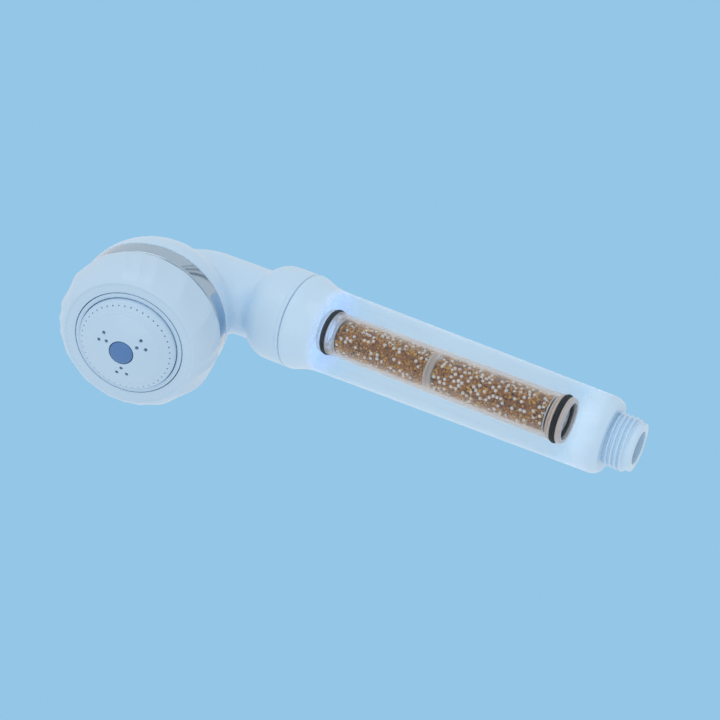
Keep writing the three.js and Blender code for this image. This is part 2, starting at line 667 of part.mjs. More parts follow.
function centreScrew() {
  const headBack = CUP_FLOOR + 2 * SEAT_GAP + WASHER_THICKNESS;
  const headFront = headBack + 1.7;
  const shank = [[0, BASE_BACK + 0.5], [SCREW_R, BASE_BACK + 1.5], [SCREW_R, headBack]];
  const head = [[SCREW_HEAD_R, headBack], [SCREW_HEAD_R, headFront - 0.4], [SCREW_HEAD_R - 0.4, headFront]];
  const screw = solid(turned([...shank, ...head, [0, headFront]], SMALL_SIDES));
  const slot = new THREE.BoxGeometry(0.8, 1.6, 4.4).translate(0, headFront, 0);
  const crossSlot = new THREE.BoxGeometry(4.4, 1.6, 0.8).translate(0, headFront, 0);
  return piece("centre_screw", surface(cut(screw, [slot, crossSlot])), STEEL);
}

function screwWasher() {
  const from = CUP_FLOOR + SEAT_GAP;
  const washer = ring(SCREW_HEAD_R + 0.9, SCREW_R + SEAT_GAP, from, from + WASHER_THICKNESS, SMALL_SIDES);
  return piece("screw_washer", washer, STEEL);
}

// ---- Dial and spray face, which turn together ---------------------------------------------------

// The dial's outside before its scoops are cut: [how far inside the dial's radius, share of the depth].
const DIAL_CURVE = [
  [0.9, 0],
  [0.3, 0.05],
  [0.1, 0.17],
  [0.5, 0.46],
  [1.4, 0.63],
  [2.9, 0.8],
  [4.6, 0.92],
  [DIAL_SLOPE, 1],
];

// Depth of the scoops at a place along the dial and an angle about it. It fades out at the dial's two edges.
function scoopDepth(place, angle) {
  const share = Math.sin(Math.PI * THREE.MathUtils.clamp((place - DIAL_BACK) / DIAL_DEPTH, 0, 1)) ** 0.8;
  const degrees = THREE.MathUtils.radToDeg(angle);
  let past = THREE.MathUtils.euclideanModulo(FIRST_RIDGE - degrees - SCOOP_LEAN * (place - DIAL_BACK), 90);
  let scoop = 0;
  while (scoop < SCOOP_WIDTHS.length - 1 && past > SCOOP_WIDTHS[scoop]) past -= SCOOP_WIDTHS[scoop++];
  const width = SCOOP_WIDTHS[scoop];
  return SCOOP_DEPTH * share * (width / Math.max(...SCOOP_WIDTHS)) * Math.sin((Math.PI * past) / width);
}

function sprayDial() {
  const outer = DIAL_CURVE.map(([inset, share]) => [DIAL_R - inset, DIAL_BACK + share * DIAL_DEPTH]);
  const face = DIAL_FRONT - RIDGE_STEP;
  const profile = [
    [DIAL_R - DIAL_WALL - 0.5, DIAL_BACK],
    ...outer,
    [RIDGE_R - RIDGE_WIDTH, face],
    [DIAL_MOUTH_R, face],
    [DIAL_MOUTH_R, face - DIAL_WALL],
    [RIDGE_R - 1.6, face - DIAL_WALL],
    [DIAL_R - DIAL_WALL - 1.4, DIAL_BACK + 0.63 * DIAL_DEPTH],
  ];
  const geometry = turned(profile, DIAL_SIDES);
  const place = geometry.attributes.position;
  for (let i = 0; i < place.count; i++) {
    const [x, y, z] = [place.getX(i), place.getY(i), place.getZ(i)];
    const r = Math.hypot(x, z);
    if (!outer.some((corner) => Math.hypot(corner[0] - r, corner[1] - y) < 1e-3)) continue;
    const depth = scoopDepth(y, Math.atan2(x, z));
    place.setXYZ(i, (x * (r - depth)) / r, y, (z * (r - depth)) / r);
  }
  return piece("spray_dial", geometry, WHITE);
}

function faceRing() {
  const inner = FACE_RING_R - FACE_RING_WALL;
  const front = DIAL_FRONT - 0.4;
  const from = CHAMBER_FRONT + SEAT_GAP;
  const profile = [
    [inner, from],
    [FACE_RING_R, from],
    [FACE_RING_R, front - 0.3],
    [FACE_RING_R - 0.3, front],
    [inner + 0.3, front],
    [inner, front - 0.3],
  ];
  return piece("face_ring", turned(profile, BIG_SIDES), WHITE);
}

// Front of the plate's dome at a radius.
function domeAt(r) {
  const edge = PLATE_R - SHELF_WIDTH - 1;
  return PLATE_CROWN - (r * r) / 70 - 0.9 * (r / edge) ** 6;
}

function sprayPlate() {
  const edge = PLATE_R - SHELF_WIDTH - 1.2;
  const skirtR = PLATE_R - 0.95;
  const skirtBack = CHAMBER_FRONT + SEAT_GAP;
  const across = (from, to, share) => THREE.MathUtils.lerp(from, to, share);
  const domeRs = [1, 0.75, 0.5, 0.25, 0].map((share) => across(CUP_R, edge, share));
  const dome = domeRs.map((r) => [r, domeAt(r)]);
  const underRs = [0, 0.33, 0.67, 1].map((share) => across(CUP_OUTER_R, edge - 1, share));
  const under = underRs.map((r) => [r, domeAt(r) - PLATE_WALL]);
  const profile = [
    [SCREW_R + SEAT_GAP, CUP_BACK],
    [CUP_OUTER_R, CUP_BACK],
    ...under,
    [PLATE_R - SHELF_WIDTH + 0.4, SHELF - PLATE_WALL],
    [skirtR, SHELF - PLATE_WALL],
    [skirtR, skirtBack],
    [PLATE_R, skirtBack],
    [PLATE_R, SHELF - 0.8],
    [PLATE_R - 0.8, SHELF],
    [PLATE_R - SHELF_WIDTH + 0.8, SHELF],
    [PLATE_R - SHELF_WIDTH, SHELF + 1],
    ...dome,
    [CUP_R, CUP_FLOOR],
    [SCREW_R + SEAT_GAP, CUP_FLOOR],
  ];
  const holes = [];
  for (let group = 0; group < JET_GROUPS; group++) {
    const middle = INLET_SIDE + JET_TURN + (group * 2 * Math.PI) / JET_GROUPS;
    const jets = [[JET_INNER_RING, 0], [JET_OUTER_RING, -JET_SPREAD], [JET_OUTER_RING, JET_SPREAD]];
    jets.forEach(([r, turn]) => holes.push(barAt(r, middle + turn, JET_R, CUP_BACK, PLATE_CROWN, 8)));
  }
  for (let i = 0; i < NOZZLES; i++) {
    const angle = (i * 2 * Math.PI) / NOZZLES;
    holes.push(barAt(NOZZLE_RING, angle, NOZZLE_R, SHELF - 4, SHELF + 1, TINY_SIDES));
  }
  return piece("spray_plate", surface(cut(solid(turned(profile, BIG_SIDES)), holes)), WHITE);
}

function centreCap() {
  const back = PLATE_CROWN - 1.9;
  const front = PLATE_CROWN + 0.1;
  const edge = [[CAP_R, back], [CAP_R, front - 0.7], [CAP_R - 0.5, front - 0.3], [0.55 * CAP_R, front]];
  return piece("centre_cap", turned([[0, back], ...edge, [0, front]], MID_SIDES), BLUE);
}

// The slot in the chamber floor that the stop pin runs in.
function stopSlot() {
  const half = STOP_PIN_R + SEAT_GAP;
  const reach = DIAL_TURN + half / STOP_RING;
  const shape = new THREE.Shape();
  shape.absarc(0, 0, STOP_RING + half, -reach, reach, false);
  shape.absarc(0, 0, STOP_RING - half, reach, -reach, true);
  const settings = { depth: 2 * CHAMBER_FLOOR, bevelEnabled: false, curveSegments: 14 };
  const slot = new THREE.ExtrudeGeometry(shape, settings);
  return slot.rotateX(Math.PI / 2).translate(0, CHAMBER_FRONT + CHAMBER_FLOOR / 2, 0).rotateY(Math.PI);
}

// The floor behind the face, with the post for the screw, the wall of the inner chamber and the three ports.
function chamberBody() {
  const hubBore = HUB_R + SEAT_GAP;
  const postR = SCREW_R * 2;
  const postBore = SCREW_R + SEAT_GAP;
  const hubTop = CHAMBER_FRONT + 0.5;
  const profile = [
    [hubBore, CHAMBER_BACK],
    [CHAMBER_R, CHAMBER_BACK],
    [CHAMBER_R, CHAMBER_FRONT],
    [hubBore + 1.5, CHAMBER_FRONT],
    [hubBore + 1.5, hubTop + 1],
    [postR, hubTop + 1.5],
    [postR, POST_END],
    [postBore, POST_END],
    [postBore, hubTop],
    [hubBore, hubTop],
  ];
  const wallTop = domeAt(CORE_WALL_R) - PLATE_WALL - 2 * SEAT_GAP;
  const wall = ring(CORE_WALL_R, CORE_WALL_R - CORE_WALL, CHAMBER_FRONT - 1, wallTop);
  const inPort = CORE_WALL_R - 2.8;
  const outPort = CORE_WALL_R + 1.6;
  const ports = [[inPort, -DIAL_TURN], [outPort, DIAL_TURN], [inPort, 0], [outPort, 0]];
  const cuts = ports.map(([r, turn]) => barAt(r, turn, 1.3, CHAMBER_BACK - 1, CHAMBER_FRONT + 1, 8));
  const body = join([turned(profile, BIG_SIDES), wall]);
  return piece("chamber_body", surface(cut(body, [...cuts, stopSlot()])), NATURAL);
}

// The turbine that makes the spray pulse: a hub with vanes, and a shutter that covers some of the jets.
function turbineRotor() {
  const bore = SCREW_R * 2 + SEAT_GAP;
  const tip = CORE_WALL_R - CORE_WALL - 0.4;
  const from = CHAMBER_FRONT + 3;
  const to = POST_END - 1.2;
  const shutterBack = to - 0.9;
  const vane = () => new THREE.BoxGeometry(0.8, shutterBack - from - 1, tip - bore - 0.9);
  const vanes = Array.from({ length: ROTOR_VANES }, (_, i) => {
    const blade = vane().translate(0, (from + shutterBack) / 2, (tip + bore + 0.5) / 2);
    return blade.rotateY((i * 2 * Math.PI) / ROTOR_VANES);
  });
  const hub = ring(bore + 1.2, bore, from, to, SMALL_SIDES);
  const shutter = ring(tip, bore + 0.6, to - 1.5, to);
  const opening = new THREE.BoxGeometry(2 * tip, 4, tip).translate(0, to, (tip + 2 * bore) / 2 + 1);
  const rotor = cut(solid(shutter), [opening]).add(join([hub, ...vanes]));
  return piece("turbine_rotor", surface(rotor), NATURAL);
}

// ---- Assembly -----------------------------------------------------------------------------------

const handleGroup = new THREE.Group();
handleGroup.rotation.z = Math.PI / 2;
handleGroup.add(handleTube(), inletScreen(), flowRestrictor(), restrictorSeal(), centringRing());
handleGroup.add(...cartridgePieces(), jointGasket());

const dialGroup = new THREE.Group();
dialGroup.add(sprayDial(), faceRing(), sprayPlate(), centreCap(), chamberBody(), turbineRotor());

const headGroup = new THREE.Group();
headGroup.rotation.z = Math.PI + HEAD_TILT;
headGroup.position.x = -HEAD_DISTANCE;
headGroup.add(trimRing(), valveBase(), portSeal(), portSpring(), detentBall(), detentSpring());
headGroup.add(centreScrew(), screwWasher(), dialGroup);

const group = new THREE.Group();
group.add(handleGroup, headShell(), headGroup);

export default group;
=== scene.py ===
# %% [markdown]
# # A handheld shower head with a filter in its handle
#
# The object has a see-through white handle with a filter cartridge inside, an elbow-shaped head that
# screws onto it, a chrome band, and a scooped dial around the spray face. Every piece is placed in the
# frame of the engineering model, in metres. Shapes are worked out in millimetres and scaled at the end,
# because a maker thinks about an object this small in millimetres.

import json
import math

import bmesh
import bpy
import numpy as np
from mathutils import Matrix, Vector


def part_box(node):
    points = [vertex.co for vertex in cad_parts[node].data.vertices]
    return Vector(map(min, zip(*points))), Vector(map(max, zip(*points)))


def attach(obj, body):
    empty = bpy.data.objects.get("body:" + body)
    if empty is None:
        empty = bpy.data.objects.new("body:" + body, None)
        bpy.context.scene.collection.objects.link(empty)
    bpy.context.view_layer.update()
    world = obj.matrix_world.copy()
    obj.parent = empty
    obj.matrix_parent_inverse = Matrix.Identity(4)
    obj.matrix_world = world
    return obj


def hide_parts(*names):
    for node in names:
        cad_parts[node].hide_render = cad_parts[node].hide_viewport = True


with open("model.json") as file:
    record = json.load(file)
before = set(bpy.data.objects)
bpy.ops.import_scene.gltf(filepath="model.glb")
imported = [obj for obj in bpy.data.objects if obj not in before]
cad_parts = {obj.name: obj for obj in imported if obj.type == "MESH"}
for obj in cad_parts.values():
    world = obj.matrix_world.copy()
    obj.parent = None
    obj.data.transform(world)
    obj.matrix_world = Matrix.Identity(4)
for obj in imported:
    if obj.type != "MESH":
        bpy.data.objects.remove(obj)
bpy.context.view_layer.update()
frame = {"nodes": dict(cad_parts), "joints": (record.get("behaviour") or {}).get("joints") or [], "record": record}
MM = 0.001
rng = np.random.default_rng(7)

# %% [markdown]
# ## Two axes
#
# Nearly every piece of a shower head is turned about one of two lines: the handle's axis, which is the
# frame's -X, and the head's axis, which the dial turns about. A point is given by its radius, its place
# along the axis and its angle. Angle zero points up in both, so the two halves share one convention.

# %% The handle's axis and the head's axis
dial_joint = next(j for j in frame["joints"] if j["name"] == "dial_turn")
CROSSING = np.array(dial_joint["pos_m"]) / MM
SPRAY = np.array(dial_joint["axis"])
SPRAY = SPRAY / np.linalg.norm(SPRAY)
UP = np.array([0.0, 0.0, 1.0])
ACROSS = np.cross(SPRAY, UP)


def on_handle(r, place, angle):
    return np.stack([-place + 0 * angle, r * np.sin(angle), r * np.cos(angle)], -1)


def on_head(r, place, angle):
    side = (r * np.sin(angle))[..., None] * ACROSS + (r * np.cos(angle))[..., None] * UP
    return CROSSING + (place + 0 * angle)[..., None] * SPRAY + side


SEAM = -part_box("head_shell")[1].x / MM - 0.3
print("head axis", SPRAY.round(4), "joint between handle and head at", round(SEAM, 2), "mm")

# %% [markdown]
# ## Turned shapes
#
# A moulded part of this kind is drawn as a profile and turned, as on a lathe. Real mouldings have no
# sharp corners, so each corner of a profile may carry a rounding radius, and the corner is replaced by
# a short curve. That small curve is what catches the light along an edge.

# %% Rounded corners
def rounded(corners, steps=4):
    """Corners are (radius, place) or (radius, place, rounding). The curve runs from side to side of each."""
    done = []
    for i, corner in enumerate(corners):
        here = np.array(corner[:2], float)
        size = corner[2] if len(corner) > 2 else 0
        if not size:
            done.append(here)
            continue
        before = np.array(corners[i - 1][:2], float) - here
        after = np.array(corners[(i + 1) % len(corners)][:2], float) - here
        a = here + before * min(0.48, size / np.linalg.norm(before))
        b = here + after * min(0.48, size / np.linalg.norm(after))
        for t in np.linspace(0, 1, steps + 1):
            done.append((1 - t) ** 2 * a + 2 * t * (1 - t) * here + t**2 * b)
    return np.array(done)


soft_square = rounded([(1, 0, 1), (5, 0, 1), (5, 4, 1), (1, 4, 1)])
print("a square with rounded corners has", len(soft_square), "points")

# %% [markdown]
# Blender has a Spin tool and a Screw modifier for lathe work. Here the grid of points is worked out
# directly, because the same few lines can then also wind a thread or press scoops into the surface: an
# optional function gives the radius at each place and angle.

# %% The lathe
def turned(profile, sides, place_on, shape=None):
    """Points and faces of a profile turned about an axis. It closes on itself unless it meets the axis."""
    profile = np.array(profile, float)
    angles = np.arange(sides) * 2 * math.pi / sides
    points, rows = [], []
    for r, place in profile:
        if r < 1e-6:
            points.append(place_on(np.zeros(1), place, np.zeros(1)))
            rows.append([sum(len(p) for p in points) - 1] * sides)
            continue
        radii = np.full(sides, r) if shape is None else shape(r, place, angles)
        start = sum(len(p) for p in points)
        points.append(place_on(radii, place, angles))
        rows.append(list(range(start, start + sides)))
    open_ended = profile[0][0] < 1e-6 and profile[-1][0] < 1e-6
    faces = []
    for a, b in zip(rows, rows[1:] if open_ended else rows[1:] + rows[:1]):
        for i in range(sides):
            j = (i + 1) % sides
            face = [a[i], a[j], b[j], b[i]]
            faces.append([v for n, v in enumerate(face) if v not in face[:n]])
    return np.concatenate(points), faces


print("a test ring has", len(turned([(2, 0), (3, 0), (3, 1), (2, 1)], 12, on_handle)[1]), "faces")

# %% [markdown]
# Some pieces are many small solids, such as a bed of grains or a set of cutters. Joining them needs no
# more than counting on: each part's faces are renumbered by the points that came before it.

# %% Several shapes as one
def joined(*parts):
    """Several (points, faces) shapes as one."""
    points, faces, start = [], [], 0
    for part_points, part_faces in parts:
        points.append(np.asarray(part_points))
        faces += [[v + start for v in face] for face in part_faces]
        start += len(part_points)
    return np.concatenate(points), faces


test_ring = turned([(2, 0), (3, 0), (3, 1), (2, 1)], 12, on_handle)
print("two test rings have", len(joined(test_ring, test_ring)[1]), "faces")

# %% [markdown]
# ## From points to a piece
#
# A piece is a mesh with its finish, the body that it moves with, and the engineering parts that it
# stands for. Faces are shaded smooth, and an edge that folds by more than a set angle stays crisp.

# %% Meshes and crisp edges
CRISP_DEGREES = 38


def mesh_object(name, shape):
    points, faces = shape
    mesh = bpy.data.meshes.new(name)
    mesh.from_pydata((np.asarray(points) * MM).tolist(), [], faces)
    bm = bmesh.new()
    bm.from_mesh(mesh)
    bmesh.ops.recalc_face_normals(bm, faces=bm.faces)
    bm.to_mesh(mesh)
    bm.free()
    thing = bpy.data.objects.new(name, mesh)
    bpy.context.scene.collection.objects.link(thing)
    return thing


def crisp(thing, degrees=CRISP_DEGREES):
    bm = bmesh.new()
    bm.from_mesh(thing.data)
    for face in bm.faces:
        face.smooth = True
    for edge in bm.edges:
        edge.smooth = edge.calc_face_angle(0) < math.radians(degrees)
    bm.to_mesh(thing.data)
    bm.free()
    return thing


print("an edge stays crisp from", CRISP_DEGREES, "degrees")

# %% [markdown]
# Every piece then goes through one function, so none can miss its finish or its body. The
# engineering parts that a piece stands for are named last, and they are hidden by that.

# %% Making a piece
def piece(name, shape, finish, body, slot, *nodes, degrees=CRISP_DEGREES):
    thing = shape if isinstance(shape, bpy.types.Object) else mesh_object(name, shape)
    crisp(thing, degrees)
    for material in finish if isinstance(finish, (list, tuple)) else [finish]:
        thing.data.materials.append(material)
    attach(thing, body)
    if nodes:
        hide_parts(*nodes)
    print(f"{name}: {len(thing.data.polygons)} faces on body {body}")
    return thing


# %% [markdown]
# Holes are cut with a Boolean modifier, as a drill would cut them. The modifier's result is kept as the
# piece's own mesh, and the cutter is thrown away, so that nothing depends on a hidden object later.

# %% Cutting holes
CUT_SOLVER = "EXACT"


def carved(thing, cutter_shape):
    """Cuts closed shapes out of a thing and keeps the result as its mesh."""
    cutter = mesh_object(thing.name + "_cutter", cutter_shape)
    cut = thing.modifiers.new("holes", "BOOLEAN")
    cut.operation, cut.solver, cut.object = "DIFFERENCE", CUT_SOLVER, cutter
    bpy.context.view_layer.update()
    result = bpy.data.meshes.new_from_object(thing.evaluated_get(bpy.context.evaluated_depsgraph_get()))
    thing.modifiers.clear()
    thing.data = result
    bpy.data.objects.remove(cutter)
    return thing


print("holes are cut with the solver", CUT_SOLVER)

# %% [markdown]
# ## Finishes as expressions
#
# Shader maths reads best as ordinary arithmetic, so a small class wraps a socket and adds a Math node
# for each operator. A finish starts from the Principled shader. What changes over a surface is linked
# to it, and what is the same everywhere is a plain number on its socket.

# %% A class for shader maths
class Value:
    def __init__(self, look, socket):
        self.look, self.socket = look, socket

    def maths(self, operation, a, b=0.0):
        return self.look.node("ShaderNodeMath", {"operation": operation}, {0: a, 1: b})

    def __add__(self, other):
        return self.maths("ADD", self, other)

    __radd__ = __add__

    def __sub__(self, other):
        return self.maths("SUBTRACT", self, other)

    def __rsub__(self, other):
        return self.maths("SUBTRACT", other, self)

    def __mul__(self, other):
        return self.maths("MULTIPLY", self, other)

    __rmul__ = __mul__

    def clamped(self):
        return self.look.node("ShaderNodeClamp", {}, {"Value": self})


print("a value knows", ", ".join(name.strip("_") for name in vars(Value) if callable(getattr(Value, name))))

# %% [markdown]
# A look is one material while it is being built. Its node method adds a node of any type: settings come
# first, because a setting such as a Mix node's data type decides which sockets there are, and then each
# socket gets a plain value or a link. The other methods are short forms of it.

# %% A look
class Look:
    """A material being built. node() adds any node, and finish() sets the Principled shader."""

    def __init__(self, name):
        self.material = bpy.data.materials.new(name)
        self.material.use_nodes = True
        self.tree = self.material.node_tree
        self.shader = self.tree.nodes["Principled BSDF"]

    def node(self, kind, settings=None, inputs=None, out=0):
        made = self.tree.nodes.new(kind)
        for key, value in (settings or {}).items():
            if key == "stops":
                ramp = made.color_ramp
                while len(ramp.elements) < len(value):
                    ramp.elements.new(0.5)
                for element, (at, colour) in zip(ramp.elements, value):
                    element.position, element.color = at, colour
            else:
                setattr(made, key, value)
        for key, value in (inputs or {}).items():
            self.feed(made.inputs[key], value)
        return Value(self, made.outputs[out])

    def feed(self, socket, value):
        if isinstance(value, Value):
            self.tree.links.new(value.socket, socket)
        else:
            socket.default_value = value

    def place(self, scale=1.0):
        """The point on the object, times a scale."""
        where = self.node("ShaderNodeTexCoord", out="Object")
        return self.node("ShaderNodeVectorMath", {"operation": "SCALE"}, {0: where, "Scale": scale})

    def noise(self, per_metre, detail=2.0, roughness=0.5):
        settings = {"Vector": self.place(), "Scale": per_metre, "Detail": detail, "Roughness": roughness}
        return self.node("ShaderNodeTexNoise", {}, settings, out="Fac")

    def blend(self, share, a, b):
        """Two colours mixed. A Mix node numbers its colour sockets 6 and 7, and its colour output 2."""
        return self.node("ShaderNodeMix", {"data_type": "RGBA"}, {0: share, 6: a, 7: b}, out=2)

    def bump(self, height, strength, distance):
        inputs = {"Height": height, "Strength": strength, "Distance": distance}
        return self.node("ShaderNodeBump", {}, inputs)

    def finish(self, **settings):
        for key, value in settings.items():
            self.feed(self.shader.inputs[key.replace("_", " ")], value)
        return self.material


print("a look can", ", ".join(name for name in vars(Look) if not name.startswith("_")))

# %% [markdown]
# Colours are easiest to judge as they look on a screen, from 0 to 255, but a shader takes linear light.
# The conversion is written once, with its straight foot for very dark tones.

# %% Colours
def shade(*colour):
    """The linear colour, with a full alpha, of a colour given as it looks on a screen."""
    linear = [(c / 255 / 12.92) if c < 11 else ((c / 255 + 0.055) / 1.055) ** 2.4 for c in colour]
    return (*linear, 1.0)


print("a mid grey is", round(shade(128, 128, 128)[0], 3), "in linear light")

# %% [markdown]
# ## Moulded plastic
#
# The body is glossy white plastic with a cold tint. Real mouldings are never perfectly even: the tint
# drifts slightly over the part, the surface has a faint orange peel, and handling leaves patches that
# are a little less glossy. Each is a noise at its own scale.

# %% White plastics
def moulded(name, light, dark, gloss=0.24, peel=0.25, scratches=0.05):
    look = Look(name)
    drift = look.noise(22, 3)
    wear = look.noise(160, 4, 0.6)
    colour = look.blend(drift, dark, light)
    rough = gloss + scratches * wear
    fine = look.noise(900, 2) + 0.5 * look.noise(2600, 1)
    normal = look.bump(fine, peel, 0.00004)
    return look.finish(Base_Color=colour, Roughness=rough, Normal=normal, IOR=1.46)


white_plastic = moulded("gloss_white", shade(196, 224, 246), shade(192, 220, 243))
dial_plastic = moulded("dial_white", shade(193, 219, 240), shade(189, 215, 237), 0.28)
face_plastic = moulded("face_white", shade(190, 217, 239), shade(186, 213, 236), 0.26)
natural_plastic = moulded("natural_plastic", shade(236, 236, 228), shade(226, 226, 216), 0.5, 0.5)
blue_plastic = moulded("blue_plastic", shade(88, 132, 186), shade(74, 118, 176), 0.22, 0.15)
print("moulded:", ", ".join(m.name for m in (white_plastic, dial_plastic, face_plastic, blue_plastic)))

# %% [markdown]
# ## The see-through handle
#
# The handle is the same plastic, but thin and translucent around the cartridge and dense at both ends.
# Alpha carries that: each of its two skins hides a share of what is behind it. The near wall has to
# leave the cartridge crisp, so the far wall behind the cartridge does most of the veiling, which the
# Backfacing output tells apart. The far wall and the dense ends of the bore give off a little painted
# light, which brightens the shaded inside of the handle. The inner skin is nearly absent, so that the
# bore draws no hard lines of its own.

# %% Translucent skins
VEIL_START, VEIL_END, PAST_THE_TUBE = 14.0, 135.5, 165.0
INLET_FADE, SEAM_FADE = 0.1, 0.2
FACE_ON, EDGE_ON = 0.5, 0.85
BLACK = (0.0, 0.0, 0.0, 1.0)
# Painted light: emission colours that brighten the far wall and the dense ends of the bore.
FAR_PAINTED_LIGHT = (0.22, 0.26, 0.32, 1.0)
END_PAINTED_LIGHT = (0.07, 0.09, 0.11, 1.0)
SKIN_TINT = shade(226, 243, 252)


def veil(name, face_on, edge_on, behind, closes_at, light, solid, painted_glow):
    """A skin with its cover seen face on, edge on and from behind, where its clear stretch closes, and its painted
    light.
    """
    look = Look(name)
    axis = look.node("ShaderNodeSeparateXYZ", {}, {0: look.place(1 / MM)}, out="X")
    from_inlet = ((0 - axis - VEIL_START) * INLET_FADE).clamped()
    from_seam = ((axis + closes_at) * SEAM_FADE).clamped()
    window = from_inlet * from_seam
    drift = look.noise(30, 2)
    tint = look.blend(drift, light, tuple(0.97 * c for c in light[:3]) + (1.0,))
    colour = look.blend(window, solid, tint)
    fine = look.noise(900, 2) + 0.5 * look.noise(2600, 1)
    rough = 0.22 + 0.05 * look.noise(160, 4, 0.6)
    turn = look.node("ShaderNodeLayerWeight", {}, {"Blend": 0.5}, out="Facing")
    ends = {"Value": turn, "From Min": FACE_ON, "From Max": EDGE_ON, "To Min": face_on, "To Max": edge_on}
    alpha = look.node("ShaderNodeMapRange", {"interpolation_type": "SMOOTHSTEP"}, ends)
    far_side = look.node("ShaderNodeNewGeometry", out="Backfacing")
    alpha = alpha + far_side * (behind - alpha)
    cover = 1 - window * (1 - alpha)
    normal = look.bump(fine, 0.2, 0.00004)
    # Painted light: an emission on the far wall, and on the dense ends of a skin that is given a painted glow.
    painted_light = look.blend(far_side, look.blend(window, painted_glow, BLACK), FAR_PAINTED_LIGHT)
    lit = {"Emission_Color": painted_light, "Emission_Strength": 1.0}
    return look.finish(Base_Color=colour, Roughness=rough, Normal=normal, Alpha=cover, IOR=1.46, **lit)


outer_skin = veil("ghost_outside", 0.02, 0.25, 0.58, VEIL_END, SKIN_TINT, shade(196, 224, 246), BLACK)
inner_skin = veil("ghost_inside", 0.01, 0.04, 0.01, PAST_THE_TUBE, SKIN_TINT, shade(196, 222, 240), END_PAINTED_LIGHT)
print("the handle is clear from", VEIL_START + 1 / INLET_FADE, "to", VEIL_END - 1 / SEAM_FADE, "mm")

# %% [markdown]
# ## Chrome, rubber, steel and clear plastic
#
# Chromed plastic is mirror-like with the faintest waviness, which bends the reflections a little. Rubber
# is matt with a dusty bloom. Bare steel has a fine grain that also roughens it.

# %% Chrome, rubber and steel
def chromed():
    look = Look("chrome_trim")
    wave = look.noise(60, 2)
    dull = look.noise(400, 5, 0.7)
    colour = look.blend(dull, shade(170, 190, 206), shade(184, 202, 218))
    normal = look.bump(wave, 0.3, 0.0001)
    return look.finish(Base_Color=colour, Metallic=1.0, Roughness=0.07 + 0.06 * dull, Normal=normal)


def rubbery():
    look = Look("black_rubber")
    bloom = look.noise(700, 4, 0.7)
    colour = look.blend(bloom, shade(3, 3, 4), shade(16, 16, 18))
    normal = look.bump(look.noise(2400, 3), 0.4, 0.00005)
    rough = 0.5 + 0.2 * bloom
    return look.finish(Base_Color=colour, Roughness=rough, Normal=normal, Specular_IOR_Level=0.15)


def bare_steel():
    look = Look("steel")
    grain = look.noise(1800, 3)
    colour = look.blend(grain, shade(168, 170, 172), shade(200, 202, 204))
    normal = look.bump(grain, 0.2, 0.00003)
    return look.finish(Base_Color=colour, Metallic=1.0, Roughness=0.25 + 0.2 * grain, Normal=normal)


chrome = chromed()
rubber = rubbery()
steel = bare_steel()
print("made", chrome.name, rubber.name, steel.name)

# %% [markdown]
# Clear plastic could be glass with refraction, but that is slow and noisy in such thin walls. It shows
# mostly where it turns away from the eye, so here its cover comes from how edge-on it is. The inlet cap
# is made in the same way with far more cover, since it is thick and frosted.

# %% Clear plastics
def clear(name, colour, face_on, edge_on, gloss=0.06):
    look = Look(name)
    turn = look.node("ShaderNodeLayerWeight", {}, {"Blend": 0.5}, out="Facing")
    haze = look.noise(500, 4, 0.6)
    cover = (face_on + edge_on * turn * turn + 0.02 * haze).clamped()
    normal = look.bump(look.noise(90, 2), 0.1, 0.00005)
    tint = look.blend(haze, colour, tuple(0.92 * c for c in colour[:3]) + (1.0,))
    return look.finish(Base_Color=tint, Roughness=gloss + 0.05 * haze, Alpha=cover, Normal=normal)


clear_tube = clear("clear_plastic", shade(250, 232, 216), 0.01, 0.9)
clear_cap = clear("clear_cap", shade(240, 228, 218), 0.12, 0.8)
grey_cap = clear("grey_cap", shade(212, 190, 176), 0.93, 0.2, 0.16)
ghost_rib = clear("ghost_rib", shade(235, 243, 250), 0.0, 0.02)
print("made", ", ".join(look.name for look in (clear_tube, clear_cap, grey_cap, ghost_rib)))

# %% [markdown]
# ## The handle
#
# One profile gives the whole tube, outside and inside. The hose thread is part of the same surface: in
# the threaded stretch the radius also depends on the angle, which winds a ridge round the core, one
# pitch for each turn. That gives a real thread without joining two meshes.

# %% Two threads
CORE_R, THREAD_R, HOSE_PITCH = 9.32, 10.48, 1.814
SPIGOT_R, SPIGOT_END, JOINT_PITCH, JOINT_RIDGE = 16.0, SEAM + 11.4, 3.0, 0.95
THREADS = (
    (2.2, 10.0, HOSE_PITCH, THREAD_R - CORE_R, CORE_R),
    (SEAM + 0.5, SEAM + 9.4, JOINT_PITCH, JOINT_RIDGE, SPIGOT_R),
)


def smooth(a, b, x):
    t = np.clip((x - a) / (b - a), 0, 1)
    return t * t * (3 - 2 * t)


def threaded(r, place, angles):
    """The radius with a ridge wound round it, if this place is on one of the two threads."""
    for start, end, pitch, height, core in THREADS:
        if start <= place <= end and abs(r - core) < 0.01:
            turn = (place - start) / pitch - angles / (2 * math.pi)
            off = np.abs(turn - np.round(turn)) * 2
            fade = smooth(start, start + 0.5, place) * (1 - smooth(end - 0.5, end, place))
            return r + height * (1 - smooth(0.18, 0.8, off)) * fade
    return np.full_like(angles, r)


crest = threaded(CORE_R, 6.0, np.linspace(0, 2 * math.pi, 60)).max()
print("hose thread", round(2 * crest, 2), "mm across its crests")

# %% [markdown]
# The profile runs out along the hose thread, over the shoulder and the tapered grip to the flange, along
# the threaded spigot, and back through the bore to the narrow inlet. The faces of the bore get the inner
# skin. Threads need close rows of points, and the plain stretches need few.

# %% The handle
GRIP_START_R, FLANGE_R = 15.12, 20.15
GRIP_START, GRIP_LENGTH, GRIP_TAPER = 17, 117, 2.18
GRIP_ROWS = np.linspace(0.08, 0.97, 22)
INLET_SHELF, WIDEST_BORE = 12, 13.6


def evenly(r, start, end, step):
    return [(r, s) for s in np.arange(start, end, step)]


